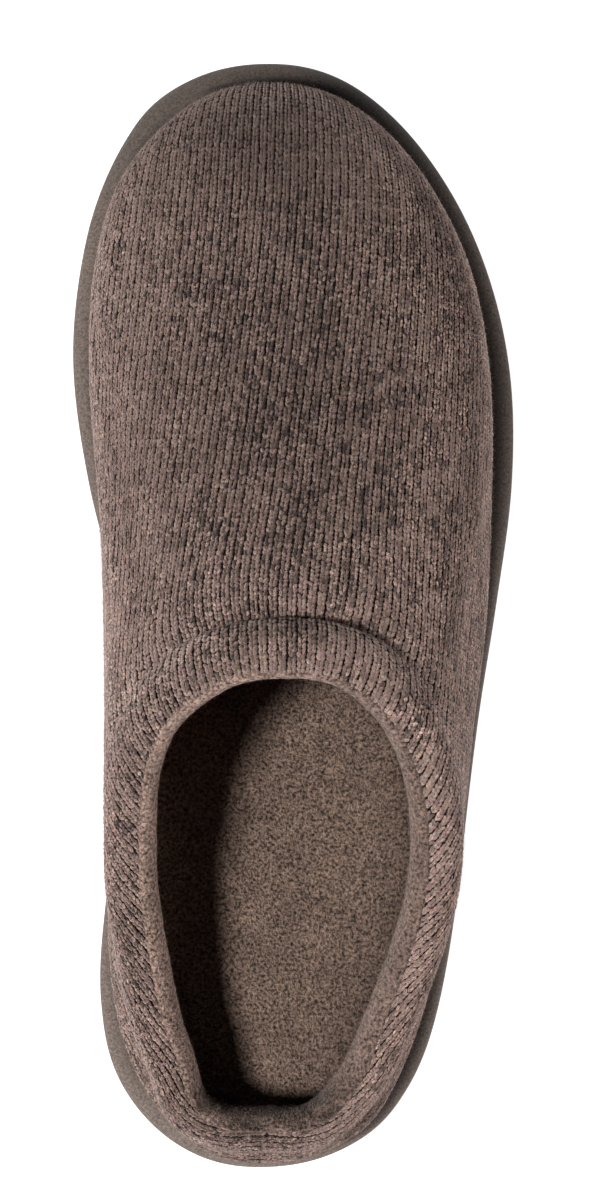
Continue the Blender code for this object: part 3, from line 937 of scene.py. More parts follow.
def map_place(tree, name):
    """Both coordinates of a named map."""
    place = add_node(tree, "ShaderNodeUVMap", uv_map=name).outputs["UV"]
    return add_node(tree, "ShaderNodeSeparateXYZ", {"Vector": place}).outputs


def ramp(tree, factor, stops):
    """A colour ramp through (place, colour) stops."""
    made = add_node(tree, "ShaderNodeValToRGB", {"Fac": factor})
    elements = made.color_ramp.elements
    elements[0].position, elements[0].color = stops[0]
    elements[1].position, elements[1].color = stops[-1]
    for place, colour in stops[1:-1]:
        elements.new(place).color = colour
    return made.outputs["Color"]


def scaled(tree, value, low, high):
    """A value from 0 to 1, spread from low to high."""
    made = add_node(tree, "ShaderNodeMapRange", {"Value": value, "To Min": low, "To Max": high})
    return made.outputs["Result"]


def noise(tree, scale, detail=2.0, roughness=0.5):
    """Noise from 0 to 1 in the part's own coordinates."""
    place = add_node(tree, "ShaderNodeTexCoord").outputs["Object"]
    values = {"Vector": place, "Scale": scale, "Detail": detail, "Roughness": roughness}
    return add_node(tree, "ShaderNodeTexNoise", values).outputs["Fac"]


def grey(value):
    return (value, value, value, 1)


def shaded(colour, share=1.0):
    """A share of a colour, with its alpha."""
    return (*(share * part for part in colour), 1)


def greys(stops):
    """Stops of a grey ramp."""
    return [(place, grey(value)) for place, value in stops]


def new_group(name, inputs, outputs, output_kind):
    """A node group with named inputs, each with a value, and named outputs. Its two ends are returned too."""
    group = bpy.data.node_groups.new(name, "ShaderNodeTree")
    for socket, value in inputs.items():
        made = group.interface.new_socket(socket, in_out="INPUT", socket_type="NodeSocketFloat")
        made.default_value = value
    for socket in outputs:
        group.interface.new_socket(socket, in_out="OUTPUT", socket_type=output_kind)
    return group, group.nodes.new("NodeGroupInput").outputs, group.nodes.new("NodeGroupOutput")


def fibre_group():
    """Loose fibres seen on every cloth: light and dark specks, broad mottling and a fine nap."""
    group = bpy.data.node_groups.get("loose_fibres")
    if group:
        return group
    names = ("Specks", "Mottle", "Nap")
    group, entry, way_out = new_group("loose_fibres", FIBRE_SIZES, names, "NodeSocketFloat")
    nap_size = product(group, entry["Speck Size"], 0.5)
    for name, size, detail in zip(names, (*entry[:2], nap_size), FIBRE_DETAILS):
        scale = add_node(group, "ShaderNodeMath", {0: 1.0, 1: size}, operation="DIVIDE").outputs[0]
        values = {"Value": noise(group, scale, detail, FIBRE_ROUGHNESS), **FIBRE_CONTRAST}
        wide = add_node(group, "ShaderNodeMapRange", values)
        set_inputs(group, way_out, {name: wide.outputs["Result"]})
    return group


def fibres(tree, speck_size, mottle_size):
    sizes = {"Speck Size": speck_size, "Mottle Size": mottle_size}
    return add_node(tree, "ShaderNodeGroup", node_tree=fibre_group(), values=sizes).outputs


def tone_group():
    """The share of a colour that shows at a place, as painted light and shade: the map named tone, drawn out
    to a full value.
    """
    group = bpy.data.node_groups.get("shown_tone")
    if group:
        return group
    group, entry, way_out = new_group("shown_tone", {"Full": 1.0}, ("Tone",), "NodeSocketColor")
    full = product(group, map_place(group, "tone")["X"], entry["Full"])
    tone = add_node(group, "ShaderNodeCombineColor", {"Red": full, "Green": full, "Blue": full})
    set_inputs(group, way_out, {"Tone": tone.outputs["Color"]})
    return group


def toned(tree, colour, full=1.0):
    """A colour dimmed by the map named tone, or lightened where full is more than 1: painted shade and light.
    """
    made = add_node(tree, "ShaderNodeGroup", node_tree=tone_group(), values={"Full": full})
    return times(tree, colour, made.outputs["Tone"])


def new_material(name):
    """A material with an empty node tree apart from its shader, and the shader."""
    material = bpy.data.materials.new(name)
    material.use_nodes = True
    return material, material.node_tree, material.node_tree.nodes["Principled BSDF"]


def bump(tree, height, distance):
    return add_node(tree, "ShaderNodeBump", {"Height": height, "Distance": distance}).outputs["Normal"]


def cloth_shader(tree, shader, colour, normal, sheen, sheen_tint):
    """A matt, fuzzy cloth, with its constants on the shader's own sockets."""
    values = {"Base Color": colour, "Sheen Weight": sheen, "Sheen Tint": (*sheen_tint, 1)}
    if normal is not None:
        values["Normal"] = normal
    set_inputs(tree, shader, {**CLOTH_CONSTANTS, **values})


def yarn_material(settings):
    """Marled wool: each stitch leg takes a shade between the light and the dark yarn, with specks of fibre.

    The map named tone gives the share of the colour that shows, as painted light and shade, and how even the
    yarn is; the sheen follows it too.
    """
    material, tree, shader = new_material("marled_yarn")
    stitch = map_place(tree, "stitch")
    yarns = ((0, settings.dark_yarn), (MID_YARN_PLACE, settings.mid_yarn), (1, settings.light_yarn))
    colour = ramp(tree, stitch["X"], [(place, shaded(yarn)) for place, yarn in yarns])
    fuzz = fibres(tree, YARN_SPECK_SIZE, YARN_MOTTLE_SIZE)
    tone = map_place(tree, "tone")
    specks = ramp(tree, fuzz["Specks"], greys(YARN_SPECKS))
    mottle = ramp(tree, fuzz["Mottle"], greys(YARN_MOTTLE))
    tint = ramp(tree, stitch["Y"], [(place, shaded(tint)) for place, tint in enumerate(YARN_TINTS)])
    for layer in (blend(tree, tone["Y"], specks, grey(YARN_EVEN_SPECK)), mottle, tint):
        colour = times(tree, colour, layer)
    sheen = product(tree, tone["X"], SHEEN_BY_TONE * settings.yarn_sheen)
    normal = bump(tree, fuzz["Nap"], YARN_NAP)
    cloth_shader(tree, shader, toned(tree, colour, FULL_GAIN), normal, sheen, YARN_SHEEN_TINT)
    return material


def fuzz_material(settings):
    """Pale loose wool ends, dimmed by the map named tone, which carries the yarn's painted light and shade.
    """
    material, tree, shader = new_material("loose_wool")
    shade = noise(tree, 1 / WOOL_PITCH)
    colour = blend(tree, shade, shaded(settings.mid_yarn), shaded(settings.light_yarn, WOOL_LIGHTNESS))
    cloth_shader(tree, shader, toned(tree, colour), None, WOOL_SHEEN, WOOL_SHEEN_TINT)
    return material


def ground_material(settings):
    """The knit's back, seen only as dark gaps between the stitches, and darker than the darkest yarn: painted
    shade.
    """
    material, tree, shader = new_material("knit_back_painted_shade")
    fuzz = fibres(tree, GROUND_SPECK_SIZE, GROUND_MOTTLE_SIZE)
    dark = settings.dark_yarn
    colour = blend(tree, fuzz["Specks"], shaded(dark, GROUND_PAINTED_SHADE), shaded(dark))
    normal = bump(tree, fuzz["Nap"], GROUND_NAP)
    cloth_shader(tree, shader, colour, normal, GROUND_SHEEN, GROUND_SHEEN_TINT)
    return material


def fleece_material(name, colour, speck_size, sheen):
    """Brushed fleece: short pile with specks, a soft mottle and a grain of small loops.

    The map named tone gives the share of the colour that shows: painted shade below the opening's edge and on
    the lining's heel and outer side, with clumps of pile at the heel.
    """
    material, tree, shader = new_material(name)
    fuzz = fibres(tree, speck_size, FLEECE_MOTTLE_SIZE)
    specked = blend(tree, fuzz["Specks"], *(shaded(colour, share) for share in FLEECE_SPECKS))
    mottled = times(tree, specked, ramp(tree, fuzz["Mottle"], greys(FLEECE_MOTTLE)))
    loops = bump(tree, blend(tree, FLEECE_FINE_NAP, fuzz["Specks"], fuzz["Nap"]), FLEECE_NAP)
    cloth_shader(tree, shader, toned(tree, mottled), loops, sheen, FLEECE_SHEEN_TINT)
    return material


def rubber_material(settings):
    """Matt foamed rubber with a fine suede-like grain and a few darker scuffs, dimmed by the painted shade of
    the map named tone.
    """
    material, tree, shader = new_material("grained_rubber")
    colour = settings.rubber_colour
    grain = noise(tree, 1 / GRAIN_PITCH, GRAIN_DETAIL, GRAIN_ROUGHNESS)
    scuffs = noise(tree, 1 / SCUFF_PITCH, GRAIN_DETAIL)
    specked = ramp(tree, grain, [(place, shaded(colour, share)) for place, share in GRAIN_SPECKS])
    worn = blend(tree, scaled(tree, scuffs, *SCUFF_SHARES), shaded(colour), specked)
    set_inputs(tree, shader, {
        "Base Color": toned(tree, worn),
        "Roughness": scaled(tree, scuffs, *RUBBER_ROUGHNESS),
        "Normal": bump(tree, grain, GRAIN_HEIGHT),
        "Specular IOR Level": RUBBER_SPECULAR,
    })
    return material


def floor_material(settings):
    """A pale table that glows a little, so that shadows stay faint."""
    material, tree, shader = new_material("pale_table")
    set_inputs(tree, shader, {
        "Base Color": shaded(settings.floor_colour),
        "Roughness": TABLE_ROUGHNESS,
        "Emission Color": grey(1),
        "Emission Strength": settings.floor_glow,
    })
    return material


# Pieces

def new_piece(name, points, faces, material):
    """A smooth mesh object that rides on the root and takes its finish from a slot."""
    mesh = bpy.data.meshes.new(name)
    mesh.from_pydata(points, [], faces)
    mesh.materials.append(material)
    mesh.shade_smooth()
    mesh.update()
    piece = bpy.data.objects.new(name, mesh)
    bpy.context.scene.collection.objects.link(piece)
    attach(piece, "root")
    return piece


def ring_quads(rows, around, closed):
    """Quads between the rows of a stack of closed rings, and from the last row to the first if closed."""
    row = np.arange(rows if closed else rows - 1)[:, None]
    low = row * around + np.arange(around)
    high = (row + 1) % rows * around + np.arange(around)
    quads = np.stack([low, np.roll(low, -1, axis=1), np.roll(high, -1, axis=1), high], axis=-1)
    return quads.reshape(-1, 4)


def across_grid(ring, strips, height):
    """Points inside a ring, in rows between its mirrored points; height gives their Z."""
    half = len(ring) // 2
    right = ring[1:half]
    left = ring[:half:-1]
    share = np.linspace(0, 1, strips + 1)[None, :, None]
    points = left[:, None] * (1 - share) + right[:, None] * share
    inner = points[:, 1:-1].copy()
    inner[..., 2] = height(inner)
    return inner


def close_ring(points, first, around, inner, flip):
    """Faces that join a ring of points, which starts at an index, to the grid that closes it.

    The grid's points are put after the others. Returns all points and the new faces.
    """
    rows, columns = inner.shape[:2]
    start = len(points)
    index = start + np.arange(rows * columns).reshape(rows, columns)
    right = first + 1 + np.arange(rows)[:, None]
    left = first + around - 1 - np.arange(rows)[:, None]
    table = np.concatenate([left, index, right], axis=1)
    quads = np.stack([table[:-1, :-1], table[:-1, 1:], table[1:, 1:], table[1:, :-1]], axis=-1)
    steps = range(columns + 1)
    heel = [(first, table[0, k + 1], table[0, k]) for k in steps]
    toe = [(first + rows + 1, table[-1, k], table[-1, k + 1]) for k in steps]
    faces = [*quads.reshape(-1, 4).tolist(), *heel, *toe]
    if flip:
        faces = [tuple(reversed(face)) for face in faces]
    return np.concatenate([points, inner.reshape(-1, 3)]), faces


def closed_stack(stack, under, top):
    """Points and faces of a stack of closed rings, with a grid that closes it below and one above."""
    around = stack.shape[1]
    faces = ring_quads(len(stack), around, False).tolist()
    points, under_faces = close_ring(stack.reshape(-1, 3), 0, around, under, True)
    points, top_faces = close_ring(points, (len(stack) - 1) * around, around, top, False)
    return points, faces + under_faces + top_faces


def tread_depth(points, settings):
    """How deep the wavy tread grooves are cut, at points of the underside."""
    x, y = points[..., 0], points[..., 1]
    wave = y + TREAD_WAVE * np.sin(2 * pi * x / TREAD_WAVE_LENGTH)
    groove = ease(np.cos(2 * pi * wave / settings.tread_pitch), *TREAD_EDGES)
    ball, heel = (plateau(station_of(y), *stations) for stations in TREAD_PLATEAUS)
    return settings.tread_depth * groove * np.maximum(ball, heel)


def rim_width(angles):
    """Width of the sole's rim round its edge: as far as the upper's foot leaves it free."""
    foot = upper_foot(widest_plan(angles))[:, :2]
    free = np.linalg.norm(sole_plan(angles)[:, None] - foot, axis=-1).min(axis=1) - RIM_MARGIN
    for _ in range(RIM_SMOOTHING):
        free = (np.roll(free, 1) + 2 * free + np.roll(free, -1)) / 4
    return np.clip(free, *RIM_WIDTHS)


def make_outsole(settings):
    """The sole: rounded floor edge, drafted side, rounded rim, flat bed and a grooved tread."""
    around = SOLE_AROUND
    angles = turn_angles(around)
    plan = sole_plan(angles)
    normal = outward(plan)

    def ring(inset, base, lift):
        moved = plan - normal * np.broadcast_to(inset, around)[:, None]
        return raised(moved, base(moved[:, 1]) + lift)

    rings = []
    for turn in np.radians(np.linspace(0, 90, FLOOR_EDGE_ROWS)):
        inset = SIDE_DRAFT + FLOOR_EDGE_RADIUS * (1 - sin(turn))
        rings.append(ring(inset, floor_height, FLOOR_EDGE_RADIUS * (1 - cos(turn))))
    drop = RIM_DROP + (RIM_TOE_DROP - RIM_DROP) * ease(station_of(plan[:, 1]), *RIM_TOE_STATIONS)
    foot_of_rim = ring(0, bed_height, -drop)
    rings += [rings[-1] * (1 - share) + foot_of_rim * share for share in shares(SIDE_ROWS)[:-1]]
    rim = rim_width(angles)
    medial = ease(-np.sin(angles), *GUTTER_FACING)
    crest = rim * (1 - (1 - RIM_CREST) * medial) - CREST_STEP
    gutter = GUTTER_DEPTH * medial
    for turn in np.radians(np.linspace(0, 90, RIM_ROWS)):
        rings.append(ring(crest * (1 - cos(turn)), bed_height, -drop * (1 - sin(turn))))
    for share in shares(CREST_ROWS):
        rings.append(ring(crest + (rim - crest) * share, bed_height, -gutter * ease(share, 0, 1)))
    for share in shares(GUTTER_ROWS):
        rings.append(ring(rim + GUTTER_END * share, bed_height, -gutter * (1 - ease(share, 0, 1))))
    for share in shares(BED_ROWS):
        rings.append(ring((rim + GUTTER_END) * (1 - share) + BED_INSET * share, bed_height, 0))
    stack = np.array(rings)
    tread = across_grid(stack[0], TREAD_STRIPS, lambda p: floor_height(p[..., 1]) + tread_depth(p, settings))
    strips = np.arange(tread.shape[1])
    margin = np.minimum(strips, strips[::-1]) < TREAD_MARGIN_STRIPS
    tread[:, margin, 2] = floor_height(tread[:, margin, 1])
    bed = across_grid(stack[-1], PLAIN_STRIPS, lambda p: bed_height(p[..., 1]))
    points, faces = closed_stack(stack, tread, bed)
    piece = new_piece("sole", points, faces, rubber_material(settings))
    # Painted shade on the rubber
    write_tone(piece, sole_painted_shade(points))
    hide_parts("outsole")


def sole_painted_shade(points):
    """Painted shade on the rubber, the share of its colour that shows: less beyond the heel, on the outer
    side, at the toe, in the joint away from the light and in a shadow line at the toe.
    """
    station = station_of(points[:, 1])
    tone = 1.0
    for shade in SOLE_PAINTED_SHADES:
        across = ease(points[:, 0], shade.x_start, shade.x_end)
        tone = tone * (1 - shade.dimming * across * ease(station, shade.station_start, shade.station_end))
    # Painted shade in the joint below the knit, on the side turned from the light
    angles = turn_angles(JOINT_AROUND)
    knit, edge = widest_plan(angles), sole_plan(angles)
    out = outward(knit)
    to_edge = edge[np.linalg.norm(knit[:, None] - edge, axis=-1).argmin(axis=1)] - knit
    width = np.maximum((to_edge * out).sum(axis=1), LEAST_JOINT)
    lee = ease(out @ AWAY_FROM_LIGHT, *JOINT_FACING) * ease(width, *JOINT_WIDTHS)
    nearest = np.linalg.norm(points[:, None, :2] - knit, axis=-1).argmin(axis=1)
    beyond = ((points[:, :2] - knit[nearest]) * out[nearest]).sum(axis=1)
    joint = ease(1 - beyond / width[nearest], *JOINT_SHARES)
    tone = tone * (1 - JOINT_PAINTED_SHADE * lee[nearest] * joint)
    # A painted shadow line at the toe
    crease = bell(beyond - TOE_SHADOW_PLACE, TOE_SHADOW_WIDTH) * ease(station, *TOE_SHADOW_STATIONS)
    tone = tone * (1 - TOE_PAINTED_SHADOW * crease)
    above_floor = points[:, 2] - floor_height(points[:, 1])
    return 1 - (1 - tone) * ease(above_floor, *SHADED_SIDE)


def make_insole(settings):
    """The footbed: a soft cupped pad covered with looped fleece."""
    around = INSOLE_AROUND
    outer, collar = upper_outer_rings(turn_angles(around))
    inside = inside_rings(outer, collar, WALL + GAP)
    rings = [inside[0]]
    for share in shares(INSOLE_ROWS):
        height = bed_height(inside[0][:, 1]) + GAP + INSOLE_THICKNESS * share
        rings.append(ring_at_height(inside, height))
    stack = np.array(rings)
    under = across_grid(stack[0], PLAIN_STRIPS, lambda p: bed_height(p[..., 1]) + GAP)

    def cupped(p):
        share = np.linspace(0, 1, p.shape[1] + 2)[1:-1]
        return bed_height(p[..., 1]) + GAP + INSOLE_THICKNESS - INSOLE_CUP * np.sin(pi * share) ** 2

    top = across_grid(stack[-1], INSOLE_STRIPS, cupped)
    loops = lattice_noise(top, 2 * settings.loop_pitch, SEED)
    dents = lattice_noise(top, DENT_PITCH, SEED + 2)
    top[..., 2] += settings.loop_height * loops + DENT_DEPTH * dents
    points, faces = closed_stack(stack, under, top)
    finish = fleece_material("insole_pile", settings.insole_colour, settings.loop_pitch, INSOLE_SHEEN)
    piece = new_piece("insole_pad", points, faces, finish)
    # Painted shade on the pile below the opening's edge, on all but the inner side
    edge = opening_plan(turn_angles(EDGE_AROUND))
    edge = edge[outward(edge)[:, 0] > -0.5]
    near = np.linalg.norm(points[:, None, :2] - edge, axis=-1).min(axis=1)
    write_tone(piece, 1 - INSOLE_EDGE_PAINTED_SHADE * np.exp(-near / INSOLE_EDGE_REACH))
    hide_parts("insole")


def make_ground(settings):
    """The upper's body: knit backing, padding and wall, as one closed shell behind stitches and lining."""
    around = BODY_AROUND
    angles = turn_angles(around)
    outer, collar = upper_outer_rings(angles)
    section = collar.section
    roll = roll_rings(collar, section.tuck, -section.inner_tuck, shares(BODY_ROLL_ROWS)[:-1])
    inner = inside_rings(outer, collar, WALL)[::3]
    stack = np.array([*with_tuck_ditch(np.array([*outer, *roll]), turn_of(angles)), *reversed(inner)])
    normals = unit(np.cross(steps_across(stack, 1), steps_across(stack, 0)))
    depth = np.full(len(stack), YARN_GROUND_DEPTH)
    depth[TUCK_ROW + LINED_ROWS:] = LINING_THICKNESS + LINING_CLEARANCE
    points = stack - normals * depth[:, None, None]
    for row in (0, -1):
        points[row, :, 2] = bed_height(points[row, :, 1]) + GAP
    faces = ring_quads(len(stack), around, True).tolist()
    piece = new_piece("upper_body", points.reshape(-1, 3), faces, ground_material(settings))
    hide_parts("upper")


def make_knit(settings):
    """The stitches: every leg of the stockinette, laid on the skin by its flat pattern."""
    around = KNIT_AROUND
    skin = knit_skin(around)
    wale, course = settings.wale_width, settings.course_height
    template = leg_template(wale, course, settings.yarn_width, settings.yarn_relief)
    finish = yarn_material(settings)
    half = around // 2
    rng = np.random.default_rng(SEED)
    for side, columns in (("outer", slice(0, half + 1)), ("inner", slice(half, around + 1))):
        stitches = place_stitches(skin, columns, wale, course)
        forward = stitches.place[:, 1] > settings.vamp_end
        for part, chosen in (("vamp", forward), ("quarter", ~forward)):
            group = Stitches(*(column[chosen] for column in stitches))
            join_legs(f"knit_{part}_{side}", group, template, finish, settings, rng)


def join_legs(name, stitches, template, finish, settings, rng):
    """One mesh of both legs of many stitches, each a little different, with shades in the stitch map."""
    count = len(stitches.place)
    legs = np.repeat(np.arange(count), 2)
    side = np.tile([1.0, -1.0], count)
    wale, course = settings.wale_width, settings.course_height
    flat = np.column_stack([stitches.flat, np.zeros(count)])
    gain, steep, even = knit_painted_light(stitches.place, stitches.normal)
    even_patches = lattice_noise(flat * EVEN_PATCH_SHAPE, EVEN_PATCH_PITCH, SEED + 9)
    even = np.clip(even + EVEN_PATCHES * even_patches, 0, 1)
    girth = 1 + EVEN_GIRTH * even[legs] + LEG_GIRTH_SPREAD * rng.standard_normal(2 * count)
    slant = LEG_SLANT_SPREAD * rng.standard_normal(2 * count)
    shift_across, shift_back = LEG_SHIFT_SPREADS
    shift = rng.standard_normal((2 * count, 2)) * (shift_across * wale, shift_back * course)
    lift = LEG_LIFT_SPREAD * settings.yarn_relief * rng.standard_normal(2 * count)
    local = np.repeat(template.points[None], 2 * count, axis=0)
    middle = template.points.mean(axis=0)
    local[..., 0] = (local[..., 0] - middle[0]) * girth[:, None] + middle[0]
    local[..., 0] = local[..., 0] * side[:, None] + shift[:, :1] + slant[:, None] * local[..., 1]
    local[..., 1] += shift[:, 1:]
    relief = (1 - WALL_FLATTENING * steep) * (1 - EVEN_FLATTENING * even)
    local[..., 2] = (local[..., 2] + lift[:, None]) * relief[legs][:, None]

    def in_space(vectors):
        across, back, up = vectors[..., :1], vectors[..., 1:2], vectors[..., 2:]
        step = across * stitches.across[legs][:, None] + back * stitches.back[legs][:, None]
        return step + up * stitches.normal[legs][:, None]

    points = stitches.place[legs][:, None] + in_space(local)
    mirror = np.stack([side, np.ones_like(side), np.ones_like(side)], axis=1)
    own = in_space(template.normals[None] * mirror[:, None])
    showing = template.normals[:, 2] >= 0
    softened = unit(own) + settings.softness * stitches.normal[legs][:, None] * showing[None, :, None]
    left_faces = [tuple(reversed(face)) for face in template.faces]
    faces = []
    for leg in range(2 * count):
        first = leg * len(template.points)
        own_faces = template.faces if side[leg] > 0 else left_faces
        faces += [tuple(first + i for i in face) for face in own_faces]
    piece = new_piece(name, points.reshape(-1, 3), faces, finish)
    piece.data.normals_split_custom_set_from_vertices(unit(softened).reshape(-1, 3).tolist())

    patches = lattice_noise(flat * PATCH_SHAPE, PATCH_PITCH, SEED + 3)
    patches = patches + FINE_PATCHES * lattice_noise(flat, FINE_PATCH_PITCH, SEED + 4)
    spread = SHADE_PATCHES * patches[legs] + SHADE_SPREAD * rng.standard_normal(2 * count)
    shade = SHADE_MIDDLE + spread * (1 - EVEN_SHADES * even[legs])
    hue = rng.random(2 * count)
    corners = sum(len(face) for face in template.faces)
    look = np.column_stack([np.clip(shade, 0, 1), hue])
    write_map(piece, "stitch", np.repeat(look, corners, axis=0))
    # The tone map: painted light and shade from the gain, with painted shade at the legs' edges on walls and
    # where each leg dips below the next stitch
    edges = template.normals[:, 2] == 0
    groove = 1 - (1 - template.tones) * (1 - EVEN_GROOVE_SHADE * even[legs][:, None])
    gaps = GAP_PAINTED_SHADE * steep * (1 - even)
    tones = gain[legs][:, None] * (1 - gaps[legs][:, None] * edges) * groove
    evenness = np.repeat(EVEN_SPECKS * even[legs], len(template.points))
    write_tone(piece, tones.ravel() / FULL_GAIN, evenness)

    right_spread = np.concatenate([np.array(spread) for spread in template.spread])
    left_spread = np.concatenate([np.array(spread)[::-1] for spread in template.spread])
    cells = np.floor(stitches.flat / (wale, course)).astype(int)
    cells = cells[legs] * (2, 1) + np.column_stack([side > 0, np.zeros_like(side)])
    cells = cells - cells.min(axis=0)
    inside = np.tile(np.concatenate([right_spread, left_spread]), (count, 1)) * (1 - 2 * LEG_MAP_MARGIN)
    corner_cells = np.repeat(cells, corners, axis=0)
    write_map(piece, "OFBake", (corner_cells + inside + LEG_MAP_MARGIN) / (cells.max(axis=0) + 1))


def knit_painted_light(places, normals):
    """Painted light and shade on the yarn at each place, with the darker back seam; then how steep the wall
    is and how even the yarn.
    """
    x, y = places[:, 0], places[:, 1]
    spots, even = np.zeros_like(x), np.full_like(x, EVEN_LEAST)
    for spot in PAINTED_LIGHT_SPOTS:
        near = np.exp(-(((x - spot.x) / spot.reach_x) ** 2) - ((y - spot.y) / spot.reach_y) ** 2)
        spots += spot.gain * near
        even += spot.evenness * near
    steep = 1 - ease(normals[:, 2], *STEEP_WALL)
    lee = ease(normals[:, :2] @ AWAY_FROM_LIGHT, *LEE_FACING)
    seam = bell(x - FOOT_AXIS_X[0], BACK_SEAM_WIDTH) * (y < BACK_SEAM_END * HEEL_END_Y)
    even = np.clip(even * (1 - steep), 0, 1)
    # Painted light from the spots and on walls turned from the light, and painted shade where the yarn is
    # even
    gain = (1 + spots) * (1 + LEE_PAINTED_LIGHT * steep * lee) * (1 - BACK_SEAM_DIMMING * seam)
    gain = np.clip(YARN_GAIN * gain * (1 - EVEN_PAINTED_SHADE * even), LEAST_GAIN, FULL_GAIN)
    return gain, steep, even


def write_tone(piece, tones, evenness=None):
    """The map named tone, which holds painted light and shade, from one tone for each point, and how even the
    yarn is.
    """
    evenness = np.zeros(len(tones)) if evenness is None else evenness
    corners = np.empty(len(piece.data.loops), dtype=int)
    piece.data.loops.foreach_get("vertex_index", corners)
    write_map(piece, "tone", np.column_stack([tones[corners], evenness[corners]]))


def write_map(piece, name, places):
    """A new map of a piece, with a place for each corner of its faces."""
    layer = piece.data.uv_layers.new(name=name)
    layer.uv.foreach_set("vector", np.ascontiguousarray(places, dtype=np.float32).ravel())


def scatter(points, count, rng):
    """Places spread evenly over a grid of points, with the row and column that each lies in."""
    low, right, up = points[:-1, :-1], points[:-1, 1:], points[1:, :-1]
    area = np.linalg.norm(np.cross(right - low, up - low), axis=-1)
    chosen = rng.choice(area.size, count, p=(area / area.sum()).ravel())
    row, column = np.unravel_index(chosen, area.shape)
    share = rng.random((count, 2))
    across, along_column = (right - low)[row, column], (up - low)[row, column]
    return low[row, column] + share[:, :1] * across + share[:, 1:] * along_column, row, column


def join_hairs(name, roots, normals, length, width, finish, rng):
    """One mesh of loose fibre ends, each a thin closed needle that leans its own way."""
    count = len(roots)
    sideways = unit(np.cross(normals, rng.standard_normal((count, 3))))
    stand = rng.uniform(*HAIR_STANDS, (count, 1))
    way = unit(normals * stand + sideways)
    tips = roots + way * length * rng.uniform(*HAIR_LENGTHS, (count, 1))
    third = unit(np.cross(way, normals))
    corners = [roots + third * width, roots - third * width, roots - normals * width]
    points = np.stack([*corners, tips], axis=1).reshape(-1, 3)
    needle = np.array([(0, 3, 1), (1, 3, 2), (2, 3, 0), (0, 1, 2)])
    faces = (4 * np.arange(count)[:, None, None] + needle).reshape(-1, 3)
    piece = new_piece(name, points, faces.tolist(), finish)
    rows = int(np.ceil(np.sqrt(count)))
    cells = np.stack(np.divmod(np.arange(count), rows), axis=1)
    triangle = np.array([(0.1, 0.1), (0.9, 0.1), (0.1, 0.9)])
    quarter = np.array([(0, 0), (1, 0), (0, 1), (1, 1)])
    inside = ((quarter[:, None] + triangle) / 2).reshape(-1, 2)
    write_map(piece, "OFBake", ((cells[:, None] + inside) / rows).reshape(-1, 2))
    return piece


def make_fuzz(settings):
    """Loose wool ends standing off the knit."""
    skin = knit_skin(FUZZ_AROUND)
    rng = np.random.default_rng(SEED + 7)
    roots, row, column = scatter(skin.points, settings.fuzz_count, rng)
    normals = skin.normals[row, column]
    roots = roots + normals * settings.yarn_relief
    finish = fuzz_material(settings)
    length, width = settings.fuzz_length, settings.fuzz_width
    fuzz = join_hairs("knit_fuzz", roots, normals, length, width, finish, rng)
    # Loose wool takes the yarn's painted light and shade
    tone = np.clip(knit_painted_light(roots, normals)[0], FUZZ_LEAST_TONE, 1)
    write_tone(fuzz, np.repeat(tone, len(fuzz.data.vertices) // len(roots)))


